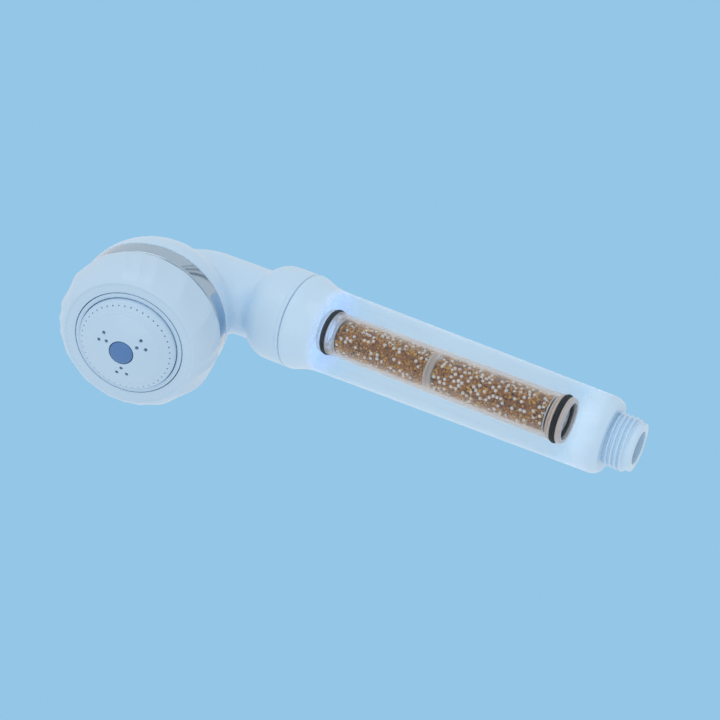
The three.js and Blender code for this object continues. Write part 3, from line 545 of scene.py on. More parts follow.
def handle_profile():
    flange = [(17.36, 134.6, 2), (18.15, 138.9, 1.5), (19.5, 142.6, 1), (FLANGE_R, 144.5, 0.9)]
    outside = rounded(
        [(CORE_R, 10.6, 0.2), (13.6, 10.7, 0.6), (15.0, 12.9, 1.2), (GRIP_START_R, GRIP_START)]
        + [(GRIP_START_R + GRIP_TAPER * t, GRIP_START + GRIP_LENGTH * t) for t in GRIP_ROWS]
        + flange
        + [(FLANGE_R, SEAM, 0.45), (SPIGOT_R, SEAM)]
    )
    inside = rounded(
        [(13.4, SPIGOT_END, 0.3), (13.4, 40), (10.6, 37, 0.4), (10.0, 35.8), (10.0, 15, 0.3)]
        + [(5.2, 15, 0.3), (5.2, 12, 0.3), (6.4, 12, 0.2)]
    )
    hose = [(8.8, 0), (9.25, 0.15), (CORE_R, 0.5)] + evenly(CORE_R, 2.0, 10.4, 0.14)
    joint = evenly(SPIGOT_R, SEAM + 0.3, SEAM + 9.6, 0.28)
    joint += [(SPIGOT_R, SPIGOT_END - 0.9), (15.4, SPIGOT_END)]
    return [(6.7, 0), *hose, *outside, *joint, *inside, (6.4, 0.3)]


profile = handle_profile()
handle = mesh_object("handle", turned(profile, 144, on_handle, threaded))
piece("handle", handle, [outer_skin, inner_skin], "handle", "ghost_white", "handle_tube")
for face in handle.data.polygons:
    out_from_axis = math.hypot(face.center.y, face.center.z) / MM
    if INLET_SHELF < -face.center.x / MM < SPIGOT_END and out_from_axis < WIDEST_BORE:
        face.material_index = 1

# %% [markdown]
# ## The cartridge
#
# A clear tube holds the filter beds between two end caps. Each cap has a groove for an O-ring, and the
# inlet cap is dished, with a gasket and a strainer disc with a knob in the dish. These are all small
# turned parts, so each is one profile. Where the tube and the caps start and end is asked from the
# engineering model.

# %% Outlines of the tube, the caps and the seals
CART_START = -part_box("cartridge_inlet_cap")[1].x / MM
CART_END = -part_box("cartridge_head_cap")[0].x / MM
TUBE_START = -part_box("cartridge_tube")[1].x / MM
TUBE_END = -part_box("cartridge_tube")[0].x / MM
CART_R, BORE_R = 9.0, 7.9
SIDES = 96


def ring(inner, outer, start, end, soft=0.2):
    corners = [(inner, start, soft), (outer, start, soft), (outer, end, soft), (inner, end, soft)]
    return rounded(corners)


def o_ring(middle_r, middle, half_r, half_width):
    turn = np.linspace(0, 2 * math.pi, 28, endpoint=False)
    return [(middle_r + half_r * math.cos(t), middle + half_width * math.sin(t)) for t in turn]


def cap_outline(end, inwards, band):
    """The outside of an end cap, from its end inwards: rim, groove for the O-ring, band and skirt."""
    corners = [(8.7, 0, 0.25), (9.15, 0.5, 0.2), (9.15, 2, 0.2), (7.95, 2, 0.1), (7.95, 4.3, 0.1)]
    corners += [(9.3, 4.3, 0.2), (9.3, 4.3 + band, 0.2), (7.6, 4.3 + band, 0.1), (7.6, 5.9 + band, 0.2)]
    return [(r, end + inwards * place, soft) for r, place, soft in corners], end + inwards * (5.9 + band)


print("the cartridge runs from", round(CART_START, 1), "to", round(CART_END, 1), "mm")

# %% [markdown]
# Both caps share one outline. They differ in the band behind the O-ring and in the hole: the inlet cap
# steps out into a dish. The O-rings are plain rings, a little wider than they are tall because they
# are squeezed against the bore, and both sit equally far in from their ends.

# %% Tube, caps and seals
SEAL_IN, SEAL_R = 3.15, 8.87
outline, deep = cap_outline(CART_START, 1, 0.9)
dish = [(6.2, deep, 0.2), (6.2, CART_START + 4, 0.1), (7.3, CART_START + 4, 0.1), (7.3, CART_START, 0.3)]
inlet_cap = turned(rounded(outline + dish), SIDES, on_handle)
outline, deep = cap_outline(CART_END, -1, 0.7)
head_cap = turned(rounded(outline + [(6.2, deep, 0.2), (6.2, CART_END, 0.3)]), SIDES, on_handle)
tube = turned(ring(BORE_R, CART_R, TUBE_START, TUBE_END), SIDES, on_handle)
piece("cartridge_tube_clear", tube, clear_tube, "handle", "clear_plastic", "cartridge_tube")
piece("inlet_cap", inlet_cap, grey_cap, "handle", "grey_cap", "cartridge_inlet_cap")
piece("head_cap", head_cap, clear_cap, "handle", "clear_plastic", "cartridge_head_cap")
for name, middle in (("inlet_seal", CART_START + SEAL_IN), ("head_seal", CART_END - SEAL_IN)):
    seal = turned(o_ring(SEAL_R, middle, 0.85, 1.08), SIDES, on_handle)
    piece(name + "_ring", seal, rubber, "handle", "black_rubber", "cartridge_" + name)
gasket = turned(ring(6.0, 7.2, CART_START + 1.2, CART_START + 2.4, 0.3), SIDES, on_handle)
piece("face_gasket_ring", gasket, rubber, "handle", "black_rubber", "cartridge_face_gasket")

# %% [markdown]
# The strainer keeps grit from the hose out of the cartridge. It is a thin disc with a knob to pull it by
# and a circle of holes. The holes are cut by rods that stand on a circle, and the same function drills
# the spray plate later.

# %% The strainer
def rods(circle_r, rod_r, start, end, count, place_on, turn=0.0, sides=16):
    """Round rods that stand on a circle about an axis, used as cutters for holes."""
    made = []
    for i in range(count):
        centre = turn + i * 2 * math.pi / count
        x, y = circle_r * math.sin(centre), circle_r * math.cos(centre)
        spin = np.arange(sides) * 2 * math.pi / sides
        xs, ys = x + rod_r * np.sin(spin), y + rod_r * np.cos(spin)
        r, a = np.hypot(xs, ys), np.arctan2(xs, ys)
        points = np.concatenate([place_on(r, start, a), place_on(r, end, a)])
        walls = [[k, (k + 1) % sides, sides + (k + 1) % sides, sides + k] for k in range(sides)]
        ends = [list(range(sides))[::-1], list(range(sides, 2 * sides))]
        made.append((points, walls + ends))
    return joined(*made)


front = CART_START + 2.8
knob = [(0, front - 1.3), (0.9, front - 1.25, 0.3), (1.5, front - 0.5, 0.3), (1.6, front + 0.4)]
disc = [(2.2, front + 0.4), (2.5, front, 0.2), (5.2, front, 0.3), (5.6, front - 0.35, 0.2)]
rim = [(7.0, front - 0.35, 0.2), (7.0, front + 0.9), (0, front + 0.9)]
strainer = mesh_object("strainer", turned(rounded(knob + disc + rim), SIDES, on_handle))
carved(strainer, rods(3.6, 0.55, front - 2, front + 2, 8, on_handle))
piece("strainer", strainer, grey_cap, "handle", "grey_cap", "strainer_disc")

# %% [markdown]
# ## The filter beds
#
# Each bed is a mix of brown mineral grains and small white balls. The tube wall shows only the
# outermost layer, so only that layer is made grain by grain: a lumpy stone shape is copied, turned and
# stretched at random on the skin of a plain core. The beds aren't quite full, so the side that is up
# is flat. The two beds differ: the one nearest the hose has more white balls.

# %% Spots for grains and balls
BED_R, BED_TOP = 7.55, 6.3
ON_AN_END = 0.16


def spaced(spots, gap):
    """Keeps only the spots that are at least a gap away from every spot kept before them."""
    kept_spots = []
    for spot in spots:
        if all(np.linalg.norm(spot - other) > gap for other in kept_spots):
            kept_spots.append(spot)
    return np.array(kept_spots)


def skin_spots(start, end, count, sink):
    """Random spots on the skin of a bed: its round side, its flat top and its two ends."""
    along = rng.uniform(start, end, count)
    angle = rng.uniform(-math.pi, math.pi, count)
    r = np.full(count, BED_R - sink)
    at_end = rng.random(count) < ON_AN_END
    r[at_end] = (BED_R - sink) * np.sqrt(rng.random(at_end.sum()))
    along[at_end] = np.where(rng.random(at_end.sum()) < 0.5, start + sink, end - sink)
    z = np.minimum(r * np.cos(angle), BED_TOP - sink)
    return np.stack([-np.clip(along, start + sink, end - sink), r * np.sin(angle), z], -1)


print("a bed is", 2 * BED_R, "mm across and filled to", BED_TOP, "mm above its middle")

# %% [markdown]
# A grain and a white ball both start as an ico sphere, which has no poles and few faces. Each copy gets
# a random turn, from four random numbers read as a quaternion, and grains are also dented and
# stretched. All copies go into one mesh, since thousands of objects would be slow.

# %% Copies of a grain
def ball(subdivisions):
    bm = bmesh.new()
    bmesh.ops.create_icosphere(bm, subdivisions=subdivisions, radius=1)
    points = np.array([v.co for v in bm.verts])
    faces = np.array([[v.index for v in f.verts] for f in bm.faces])
    bm.free()
    return points, faces


def random_turns(count):
    q = rng.normal(size=(count, 4))
    w, x, y, z = (q / np.linalg.norm(q, axis=1, keepdims=True)).T
    rows = [
        [1 - 2 * (y * y + z * z), 2 * (x * y - z * w), 2 * (x * z + y * w)],
        [2 * (x * y + z * w), 1 - 2 * (x * x + z * z), 2 * (y * z - x * w)],
        [2 * (x * z - y * w), 2 * (y * z + x * w), 1 - 2 * (x * x + y * y)],
    ]
    return np.array(rows).transpose(2, 0, 1)


def scattered(template, spots, sizes, lumpy=0.0, stretch=0.0):
    points, faces = template
    count = len(spots)
    grains = points[None] * (1 + lumpy * rng.normal(size=(count, len(points), 1)))
    grains = grains * (1 + stretch * rng.uniform(-1, 1, (count, 1, 3)))
    grains = np.einsum("nij,nkj->nki", random_turns(count), grains) * sizes[:, None, None]
    starts = np.arange(count)[:, None, None] * len(points)
    return (grains + spots[:, None]).reshape(-1, 3), (faces[None] + starts).reshape(-1, 3).tolist()


print("a grain has", len(ball(1)[1]), "faces and a ball", len(ball(2)[1]))

# %% [markdown]
# The grains are golden, brown and nearly black. Random Per Island gives each loose grain of the mesh its
# own number, and a ramp turns that number into one of the mineral's colours.

# %% Finishes for grains and balls
def grain_finish(name, stops):
    look = Look(name)
    chance = look.node("ShaderNodeNewGeometry", out="Random Per Island")
    colour = look.node("ShaderNodeValToRGB", {"stops": stops}, {"Fac": chance})
    speck = look.noise(2600, 3)
    mixed = look.blend(0.2 * speck, colour, shade(46, 26, 20))
    normal = look.bump(speck, 0.5, 0.00008)
    return look.finish(Base_Color=mixed, Roughness=0.25 + 0.3 * speck, Normal=normal)


BROWNS = [
    (0.0, shade(70, 36, 30)),
    (0.2, shade(128, 76, 54)),
    (0.4, shade(188, 122, 36)),
    (0.65, shade(236, 172, 42)),
    (0.86, shade(252, 206, 108)),
    (1.0, shade(160, 104, 92)),
]
grains_finish = grain_finish("mineral_grains", BROWNS)
balls_finish = moulded("white_balls", shade(248, 248, 246), shade(232, 230, 226), 0.4, 0.4)
print("the mineral has", len(BROWNS), "tones")

# %% [markdown]
# A bed is a plain core, the grains on the core's skin, and the balls. Balls are placed first, and a
# grain that would sit inside a ball is left out, so that the balls stay round and clean.

# %% The two beds
BALL_GAP, GRAIN_CLEAR, CORE_SINK = 1.55, 0.95, 0.8


def flat_top(r, place, angles):
    level = BED_TOP - CORE_SINK
    return np.where(r * np.cos(angles) > level, level / np.maximum(np.cos(angles), 0.1), r)


def filter_bed(name, node, grain_count, ball_count):
    low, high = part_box(node)
    start, end = -high.x / MM, -low.x / MM
    balls = spaced(skin_spots(start, end, 3 * ball_count, 0.78), BALL_GAP)[:ball_count]
    grains = skin_spots(start, end, grain_count, 0.4)
    apart = np.linalg.norm(grains[:, None] - balls[None], axis=2).min(axis=1)
    grains = grains[apart > GRAIN_CLEAR]
    ends = [(0, start + 0.5), (6.9, start + 0.5), (6.9, end - 0.5), (0, end - 0.5)]
    core = turned(ends, 48, on_handle, flat_top)
    stones = scattered(ball(1), grains, rng.uniform(0.3, 0.5, len(grains)), 0.14, 0.3)
    bed = joined(core, stones)
    piece(name + "_grains", bed, grains_finish, "handle", "filter_granules", node, degrees=70)
    round_balls = scattered(ball(2), balls, rng.uniform(0.7, 0.8, len(balls)))
    piece(name + "_balls", round_balls, balls_finish, "handle", "filter_granules")


filter_bed("inlet_bed", "inlet_granules", 3900, 290)
filter_bed("outlet_bed", "outlet_granules", 3300, 170)

# %% [markdown]
# ## The divider
#
# A clear plug keeps the two fillings apart. It is a turned piece with a rounded waist, and it shows as a
# pale ring between the two browns.

# %% The divider between the beds
low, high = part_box("cartridge_divider")
start, end = -high.x / MM, -low.x / MM
middle = (start + end) / 2
PLUG_R, WAIST_R, LAND = 7.6, 6.6, 1.1
groove = [(PLUG_R, start, 0.2), (PLUG_R, start + LAND, 0.2), (WAIST_R, middle, 0.6)]
groove += [(PLUG_R, end - LAND, 0.2), (PLUG_R, end, 0.2)]
divider = turned([(0, start), *rounded([(3, start), *groove, (3, end)])[1:-1], (0, end)], SIDES, on_handle)
divider_clear = clear("divider_plastic", shade(232, 220, 212), 0.5, 0.3)
piece("bed_divider", divider, divider_clear, "handle", "clear_plastic", "cartridge_divider")

# %% [markdown]
# ## The head shell
#
# The head's back is one moulding: a collar over the joint, a straight neck, a tight elbow and an oval
# dome, all flowing into each other. Such blends are hard to draw as a grid but easy to write down as a
# distance: each simple form says how far away its surface is, and a soft minimum of two distances
# melts the forms together. The surface is then found where the distance is zero.

# %% Distances to the simple forms
BEND_R, NECK_R, HEAD_R = 13.0, 15.2, 31.9
TURN = math.pi / 2 + math.asin(SPRAY[0])
BEND_START = -CROSSING[0] - BEND_R * math.tan(TURN / 2)
DOME_FRONT, LIP_BACK, LIP_FRONT, LIP_R = 36.6, 30, 43.5, 30.0
COLLAR = np.array([(146.4, 20.1), (147.6, 20.2), (148.6, 19.95), (150, 20.15), (155, 20.2), (158.6, 20.1)])
SHOULDER = np.array([(160.7, 19.5), (162.7, 18.4), (164.6, 16.9), (166.1, 15.8), (167.5, 15.3), (169, 15.2)])
outline_of_collar = np.vstack([COLLAR, SHOULDER, [(230, 15.2)]])


def softest(a, b, reach):
    """The smaller of two distances, melted together where they are within reach of each other."""
    h = np.clip(reach - np.abs(a - b), 0, None) / reach
    return np.minimum(a, b) - h * h * reach / 4


def neck_distance(points, radius):
    """Distance to a bar round the straight neck and the elbow."""
    s, y, z = -points[..., 0], points[..., 1], points[..., 2]
    straight = np.where(s < BEND_START, np.hypot(y, z), 1e3) - radius
    angle = np.clip(np.arctan2(s - BEND_START, y + BEND_R), 0, TURN)
    cx, cy = BEND_START + BEND_R * np.sin(angle), BEND_R * (np.cos(angle) - 1)
    bend = np.sqrt((s - cx) ** 2 + (y - cy) ** 2 + z**2) - radius
    return np.minimum(straight, bend)


print("the elbow starts at", round(BEND_START, 1), "mm and turns", round(math.degrees(TURN), 1), "degrees")

# %% [markdown]
# The outside is the dome, the neck and the collar melted together, with a lip that carries the chrome
# band. The inside is made of smaller forms of the same kind, and taking it away leaves the wall. Two
# forms with a soft minimum meet in a fillet, which is wider the further the minimum reaches.

# %% The distance to the whole shell
COLLAR_START, COLLAR_END, COLLAR_SLOPE, NECK_START = 146.4, 172, 0.85, 158
DOME_DEPTH, HOLLOW_R, HOLLOW_DEPTH, HOLLOW_FRONT = 31.3, 28.0, 28.7, 60
SOCKET_R, SOCKET_END, BORE_START, NECK_BORE_R = 17.4, 160.1, 150, 12.8
OUTER_FILLET, INNER_FILLET = 7.0, 5.0


def oval_distance(out, back, radius, depth):
    """Distance to half an oval about the head's axis, which carries on forwards as a cylinder."""
    back = np.clip(back, 0, None)
    near = np.hypot(out / radius, back / depth) + 1e-9
    steep = np.hypot(out / radius**2, back / depth**2) + 1e-9
    return near * (near - 1) / steep


def shell_distance(points):
    rel = points - CROSSING
    h = rel @ SPRAY
    out = np.linalg.norm(rel - h[..., None] * SPRAY, axis=-1)
    s, ro = -points[..., 0], np.hypot(points[..., 1], points[..., 2])
    collar_r = np.interp(s, outline_of_collar[:, 0], outline_of_collar[:, 1])
    collar = np.maximum(np.maximum((ro - collar_r) * COLLAR_SLOPE, COLLAR_START - s), s - COLLAR_END)
    neck = np.maximum(neck_distance(points, NECK_R), NECK_START - s)
    dome = oval_distance(out, DOME_FRONT - h, HEAD_R, DOME_DEPTH)
    outside = np.maximum(softest(dome, neck, OUTER_FILLET), h - DOME_FRONT)
    lip = np.maximum(np.maximum(out - LIP_R, h - LIP_FRONT), LIP_BACK - h)
    outside = np.minimum(np.minimum(outside, collar), lip)
    hollow = np.maximum(oval_distance(out, DOME_FRONT - h, HOLLOW_R, HOLLOW_DEPTH), h - HOLLOW_FRONT)
    socket = np.maximum(ro - SOCKET_R, s - SOCKET_END)
    bore = np.maximum(neck_distance(points, NECK_BORE_R), BORE_START - s)
    inside = np.minimum(softest(hollow, bore, INNER_FILLET), socket)
    return np.maximum(outside, -inside)


walls = [round(HEAD_R - HOLLOW_R, 1), round(NECK_R - NECK_BORE_R, 1)]
print("walls of the dome and the neck, in mm:", walls)

# %% [markdown]
# To turn a distance into a mesh, space is divided into small cubes. Each cube that the surface passes
# through gets one point, at the middle of the places where its edges are crossed. This is known as
# surface nets. Marching cubes would do too, but it leaves thin slivers that catch the light.

# %% One point in each crossed cube
CORNERS = np.array([(i, j, k) for i in (0, 1) for j in (0, 1) for k in (0, 1)])
EDGES = [(a, b) for a in range(8) for b in range(a + 1, 8) if np.abs(CORNERS[a] - CORNERS[b]).sum() == 1]


def crossed_cubes(values, inside):
    """The cubes that the surface passes through, and a point in each, both counted in cubes."""
    n = np.array(values.shape) - 1
    corner_in = sum(inside[i : i + n[0], j : j + n[1], k : k + n[2]].astype(int) for i, j, k in CORNERS)
    cells = np.argwhere((corner_in > 0) & (corner_in < 8))
    at = cells[:, None] + CORNERS[None]
    there = values[at[..., 0], at[..., 1], at[..., 2]]
    total, count = np.zeros((len(cells), 3)), np.zeros(len(cells))
    for a, b in EDGES:
        crossed = (there[:, a] < 0) != (there[:, b] < 0)
        share = np.where(crossed, there[:, a] / np.where(crossed, there[:, a] - there[:, b], 1), 0)
        spot = CORNERS[a] + share[:, None] * (CORNERS[b] - CORNERS[a])
        total += spot * crossed[:, None]
        count += crossed
    return cells, cells + total / count[:, None]


print("a cube has", len(EDGES), "edges")

# %% [markdown]
# Wherever a grid line crosses the surface, the four cubes around that line give one four-sided face.
# That joins the points into a closed net. The points are then slid onto the true surface along the
# distance's slope, a few times, which takes out the last trace of the cubes.

# %% Joining the points and sliding them onto the surface
SLIDES, NUDGE = 4, 0.05


def net_faces(cells, inside):
    n = np.array(inside.shape) - 1
    number = np.full(tuple(n), -1)
    number[tuple(cells.T)] = np.arange(len(cells))
    faces = []
    for axis in range(3):
        u, v = [a for a in range(3) if a != axis]
        ahead = np.moveaxis(inside, axis, 0)
        spots = np.argwhere(ahead[1:] != ahead[:-1])
        full = np.zeros_like(spots)
        full[:, axis], full[:, u], full[:, v] = spots.T
        full = full[(full[:, u] > 0) & (full[:, v] > 0)]
        full = full[(full[:, u] < n[u]) & (full[:, v] < n[v])]
        du, dv = np.eye(3, dtype=int)[u], np.eye(3, dtype=int)[v]
        around = [full - du - dv, full - dv, full, full - du]
        faces.append(np.stack([number[tuple(c.T)] for c in around], -1))
    return np.concatenate(faces).tolist()


def slid(points, distance, step):
    here, slope = distance(points), np.zeros_like(points)
    for a in range(3):
        nudge = np.eye(3)[a] * NUDGE
        slope[:, a] = (distance(points + nudge) - distance(points - nudge)) / (2 * NUDGE)
    move = -here[:, None] * slope / np.maximum((slope**2).sum(1, keepdims=True), 0.2)
    return points + np.clip(move, -0.3 * step, 0.3 * step)


def netted(distance, low, high, step):
    axes = [np.arange(lo, hi + step, step) for lo, hi in zip(low, high)]
    values = distance(np.stack(np.meshgrid(*axes, indexing="ij"), -1))
    cells, spots = crossed_cubes(values, values < 0)
    points = np.array(low) + spots * step
    for _ in range(SLIDES):
        points = slid(points, distance, step)
    return points, net_faces(cells, values < 0)


CUBE, QUICK_CUBE, MARGIN = 0.62, 0.9, 3
low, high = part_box("head_shell")
step = CUBE
shell = netted(shell_distance, np.array(low) / MM - MARGIN, np.array(high) / MM + MARGIN, step)
piece("head_shell_white", shell, white_plastic, "head", "gloss_white", "head_shell", degrees=80)

# %% [markdown]
# ## The chrome band
#
# The chrome band is a plain ring with rolled edges. Its front edge is rolled the most, and that draws the
# bright line between the band and the dial.

# %% The chrome band
TRIM_BACK, TRIM_FRONT, TRIM_INNER = 36.9, 44.5, 30.3
corners = [(TRIM_INNER, TRIM_BACK, 0.3), (HEAD_R, TRIM_BACK, 0.4)]
corners += [(HEAD_R, TRIM_FRONT, 0.75), (TRIM_INNER, TRIM_FRONT, 0.3)]
band = turned(rounded(corners, 6), 240, on_head)
piece("chrome_band", band, chrome, "head", "chrome_trim", "trim_ring")

# %% [markdown]
# ## The dial
#
# The dial is a barrel with shallow scoops for wet fingers, some wide and some narrow, in a pattern that
# comes back every quarter turn. They meet in soft ridges and lean slightly, so they are cut by a
# function of both angle and depth, and they fade out at the dial's two edges. The barrel's side is a
# smooth curve through a few points.

# %% The dial's side
DIAL_BACK, DIAL_FRONT, RIDGE_R, MOUTH_R = 45.0, 62.4, 26.6, 22.3
DIAL_SIDE = [(30.9, 45.0), (31.9, 45.4), (32.6, 46.3), (33.0, 48), (32.95, 50), (32.5, 53), (31.8, 55.5)]
DIAL_SIDE += [(30.8, 57.8), (29.6, 59.7), (28.4, 61.1), (27.3, 62.0)]


def curve_through(corners, count):
    """A smooth line through corners, by the Catmull-Rom rule."""
    p = np.array([corners[0], *corners, corners[-1]], float)
    line = []
    for t in np.linspace(0, len(corners) - 1.0001, count):
        i, f = int(t), t - int(t)
        a, b, c, d = p[i], p[i + 1], p[i + 2], p[i + 3]
        bend, twist = 2 * a - 5 * b + 4 * c - d, 3 * b - a - 3 * c + d
        line.append(0.5 * (2 * b + (c - a) * f + bend * f**2 + twist * f**3))
    return [tuple(x) for x in line]


side = curve_through(DIAL_SIDE, 40)
print("the dial is", round(2 * max(r for r, _ in side), 1), "mm across")

# %% [markdown]
# A scoop is half a sine wave across, with its peak sharpened into a ridge by a root. Wider scoops are
# deeper, as they would be if the same round cutter had made them all.

# %% The dial with its scoops
SCOOP_WIDTHS = (11.5, 11.5, 23, 28, 16)
FIRST_RIDGE, LEAN, SCOOP_DEPTH = 12.5, 0.5, 1.1
side_rs = {round(r, 6) for r, _ in side}


def scooped(r, place, angles):
    if round(r, 6) not in side_rs:
        return np.full_like(angles, r)
    deep = math.sin(math.pi * min(max((place - DIAL_BACK) / (DIAL_FRONT - DIAL_BACK), 0), 1)) ** 0.8
    turn = (FIRST_RIDGE - np.degrees(angles) - LEAN * (place - DIAL_BACK)) % 90
    ridges = np.cumsum((0,) + SCOOP_WIDTHS)
    scoop = np.minimum(np.searchsorted(ridges, turn, side="right"), len(SCOOP_WIDTHS)) - 1
    width = np.array(SCOOP_WIDTHS)[scoop]
    across = (turn - ridges[scoop]) / width
    hollow = np.sqrt(np.sin(math.pi * across) ** 2 + 0.01) - 0.1
    return r - SCOOP_DEPTH * deep * (width / max(SCOOP_WIDTHS)) ** 0.7 * hollow


lip = [DIAL_SIDE[-1], (RIDGE_R, DIAL_FRONT, 0.5), (25.7, 61.9, 0.4), (MOUTH_R, 61.9, 0.3)]
lip = rounded([*lip, (MOUTH_R, 59.5), (25, 59.5)])
dial_profile = [(29.6, 45.0), *side, *lip[1:], (28.7, 56.0)]
dial = turned(dial_profile, 480, on_head, scooped)
piece("fluted_dial", dial, dial_plastic, "dial", "dial_white", "spray_dial", degrees=50)

# %% [markdown]
# ## The spray face
#
# Inside the dial sits a thin white ring, then the domed spray plate with a blue cap at its crown. The
# gaps between them are real, since a painted line would vanish from the side.

# %% The ring round the spray plate
ring_profile = rounded([(20.2, 47.3), (22.0, 47.3), (22.0, 62.0, 0.4), (20.2, 62.0, 0.4)])
piece("face_ring_white", turned(ring_profile, 160, on_head), face_plastic, "dial", "gloss_white", "face_ring")

# %% [markdown]
# The plate's dome is a formula: a shallow parabola that falls off faster at the rim, less two faint
# grooves. The same formula gives the underside, so that the wall is even.

# %% The spray plate
CROWN, PLATE_R, CAP_R = 69.7, 19.95, 4.8


def plate_front(r):
    grooves = 0.16 * (math.exp(-(((r - 15.2) / 0.28) ** 2)) + math.exp(-(((r - 16.5) / 0.28) ** 2)))
    return CROWN - r * r / 72 - 0.75 * (r / 19.3) ** 8 - grooves


def plate_profile():
    over = [(r, plate_front(r)) for r in np.linspace(19.3, 5.3, 90)]
    edge = [(PLATE_R, 62.4), (PLATE_R, 63.0, 0.4)]
    cup = [(5.05, plate_front(5.05), 0.15), (5.05, 64.8), (1.9, 64.8), (1.9, 63.3), (6.3, 63.3)]
    under = [(r, plate_front(r) - 2) for r in np.linspace(6.6, 14.2, 12)]
    skirt = [(16.9, 61.5), (18.9, 61.5), (18.9, 47.3), (PLATE_R, 47.3), (PLATE_R, 55), (PLATE_R, 60)]
    return rounded([*edge, *over, *cup, *under, *skirt])


plate = mesh_object("spray_plate_white", turned(plate_profile(), 184, on_head))
print("the plate's rim is", round(CROWN - plate_front(19.3), 2), "mm lower than its crown")

# %% [markdown]
# The plate has fine nozzles all round its rim and nine larger jets in threes. The holes are cut for real,
# so that they keep their dark depth from every side.

# %% Jets and nozzles
JET_R, NOZZLE_R, NOZZLES = 0.74, 0.3, 46
JET_TURN = -math.pi / 2 + math.radians(28)
jets = [rods(7.2, JET_R, 60, 71, 3, on_head, JET_TURN)]
for aside in (-11.6, 11.6):
    jets.append(rods(10.1, JET_R, 60, 71, 3, on_head, JET_TURN + math.radians(aside)))
nozzles = rods(18.2, NOZZLE_R, 60, 66, NOZZLES, on_head, 0, 10)
carved(plate, joined(*jets, nozzles))
piece("spray_plate_white", plate, face_plastic, "dial", "face_white", "spray_plate", degrees=30)

# %% [markdown]
# The cap hides the screw that holds the dial. It is a separate, coloured piece, pressed in, so it gets
# its own small disc with a softly rounded edge.

# %% The blue cap
cap_profile = [(0, 67.8), (CAP_R, 67.8), (CAP_R, 69.1, 0.3), (4.5, 69.55, 0.4), (2.8, 69.85), (0, 69.92)]
cap = turned([(0, 67.8), *rounded(cap_profile)[1:-1], (0, 69.92)], SIDES, on_head)
piece("blue_cap", cap, blue_plastic, "dial", "blue_plastic", "centre_cap")

# %% [markdown]
# ## The hidden parts
#
# The valve parts behind the face, the springs, the screens and the remaining seals keep the shapes of
# the engineering model, because little of them shows: some through the clear handle, some through a
# gap, most not at all. They still get the finishes that the real parts have.

# %% Finishes for the parts that keep their engineering shapes
KEPT = {"steel": steel, "natural_plastic": natural_plastic, "black_rubber": rubber, "ghost_white": ghost_rib}
KEPT.update({"clear_plastic": clear_tube, "grey_cap": grey_cap, "gloss_white": white_plastic})
slots = {s["node"]: s["material_slot"] for s in frame["record"]["subparts"]}
kept = [name for name, node in sorted(frame["nodes"].items()) if not node.hide_render]
for name in kept:
    node = frame["nodes"][name]
    node.data.materials.clear()
    node.data.materials.append(KEPT[slots[name]])
print("kept from the engineering model:", ", ".join(kept))

# %% [markdown]
# ## The studio
#
# The object floats in an even pale blue. A wide floor that curves up far behind would do, but its own
# shading would show. This sweep gives off its colour instead, and it takes no part in reflections,
# shadows or soft light, so it neither tints the white plastic nor shows a horizon.

# %% The sweep
BACKDROP = shade(148, 198, 231)


def even_floor():
    look = Look("pale_floor")
    base = {"Base_Color": (0, 0, 0, 1), "Roughness": 1.0, "Specular_IOR_Level": 0.0}
    return look.finish(**base, Emission_Color=BACKDROP, Emission_Strength=1.0)


def round_z(r, place, angle):
    return np.stack([r * np.sin(angle), r * np.cos(angle), place + 0 * angle], -1)


sweep = [(0, -900), (2600, -900), (3300, -800), (3800, -500), (4100, 0), (4200, 4000), (4300, 4000)]
sweep += [(4200, 0), (3900, -600), (3300, -950), (0, -950)]
floor = mesh_object("floor", turned(sweep, 96, round_z))
floor.data.materials.append(even_floor())
floor.visible_diffuse = floor.visible_glossy = floor.visible_shadow = False
print("sweep of", len(floor.data.polygons), "faces")

# %% [markdown]
# The light comes mostly from the sky, as in a light tent: nearly even from all sides, so that shadows are
# weak. A ramp over the height makes the horizon a little darker, which shapes the round pieces. The
# world's nodes are built with the same helpers as a material's.

# %% The light tent
class Sky(Look):
    def __init__(self, name):
        self.material = bpy.data.worlds.new(name)
        self.material.use_nodes = True
        self.tree = self.material.node_tree
        self.shader = self.tree.nodes["Background"]


sky = Sky("soft_white")
way = sky.node("ShaderNodeTexCoord", out="Generated")
rise = sky.node("ShaderNodeSeparateXYZ", {}, {0: way}, out="Z")
height = sky.node("ShaderNodeMapRange", {}, {"Value": rise, "From Min": -1.0, "From Max": 1.0})
TENT = [(0.0, (0.88, 0.90, 0.92, 1)), (0.5, (0.74, 0.76, 0.78, 1)), (1.0, (0.80, 0.81, 0.82, 1))]
tent_colour = sky.node("ShaderNodeValToRGB", {"stops": TENT}, {"Fac": height})
bpy.context.scene.world = sky.finish(Color=tent_colour)
print("light tent with", len(TENT), "tones")

# %% [markdown]
# In an even tent chrome would look like grey paint. Photographers hold up dark cards, and the streaks on
# the band are their reflections. These cards are seen only by reflected rays.

# %% Dark cards
CARD_OUT, CARD_LOW, CARD_HIGH = 800, -100, 700


def dark_card(name, azimuth, width):
    """A narrow dark strip, seen only in reflections, that gives the chrome its streaks."""
    around, wide = math.radians(azimuth), math.radians(width)
    spots = []
    for turn, z in ((-1, CARD_LOW), (1, CARD_LOW), (1, CARD_HIGH), (-1, CARD_HIGH)):
        a = around + turn * wide / 2
        spots.append(CROSSING + np.array([CARD_OUT * math.cos(a), CARD_OUT * math.sin(a), z]))
    card = mesh_object(name, (np.array(spots), [[0, 1, 2, 3]]))
    card.data.materials.append(dark_paint)
    card.visible_camera = card.visible_diffuse = card.visible_shadow = False


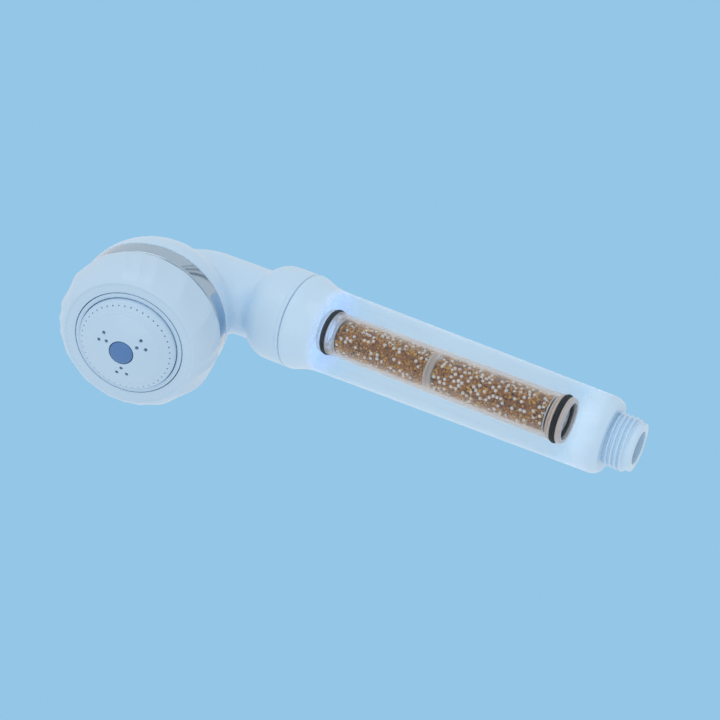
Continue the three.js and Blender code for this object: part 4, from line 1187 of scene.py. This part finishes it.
matt = {"Roughness": 1.0, "Specular_IOR_Level": 0.0}
dark_paint = Look("dark_card").finish(Base_Color=(0.2, 0.23, 0.27, 1), **matt)
CARDS = ((88, 1.0), (84, 1.6), (79, 2.6))
for number, (azimuth, width) in enumerate(CARDS):
    dark_card(f"dark_card_{number + 1}", azimuth, width)
print(len(CARDS), "dark cards")

# %% [markdown]
# Two large round lamps add a little direction to the tent: one from above and one from the front. They
# are weak, and wide for their distance, so their shadows have no edge.

# %% Lamps
LIT_POINT = Vector((-0.12, -0.01, 0))


def soft_light(name, direction, distance, size, power):
    data = bpy.data.lights.new(name, "AREA")
    data.shape, data.size, data.energy = "DISK", size, power
    lamp = bpy.data.objects.new(name, data)
    way = Vector(direction).normalized()
    lamp.location = LIT_POINT + way * distance
    lamp.rotation_euler = (-way).to_track_quat("-Z", "Y").to_euler()
    bpy.context.scene.collection.objects.link(lamp)


soft_light("key", (-0.2, -0.35, 0.9), 1.0, 0.7, 1.0)
soft_light("front_fill", (0.2, -1.0, 0.25), 1.1, 0.9, 0.9)
print("lamps:", ", ".join(light.name for light in bpy.data.lights))

# %% [markdown]
# ## The camera
#
# The camera looks down on the handle from its spray side, from the direction of the hose, and is
# rolled a little so that the handle falls away to the right. A long lens keeps the head and the hose end
# in proportion. The plain Standard view keeps the colours as they were chosen.

# %% Camera
AIM = Vector((-0.1125, -0.0117, 0.0))
AZIMUTH, ELEVATION, ROLL = (math.radians(x) for x in (28.3, 31.2, 5.5))
DISTANCE = 0.4934
lens = bpy.data.cameras.new("camera")
lens.lens, lens.sensor_width = 62.43, 36.0
camera = bpy.data.objects.new("camera", lens)
level = math.cos(ELEVATION)
back = Vector((math.sin(AZIMUTH) * level, -math.cos(AZIMUTH) * level, math.sin(ELEVATION)))
camera.location = AIM + back * DISTANCE
look_at = (-back).to_track_quat("-Z", "Y").to_matrix().to_4x4()
camera.matrix_world = Matrix.Translation(camera.location) @ look_at @ Matrix.Rotation(ROLL, 4, "Z")
bpy.context.scene.collection.objects.link(camera)
bpy.context.scene.camera = camera
bpy.context.scene.view_settings.view_transform = "Standard"
bpy.context.scene.cycles.transparent_max_bounces = 24
print("camera at", [round(x, 4) for x in camera.location])

# %% [markdown]
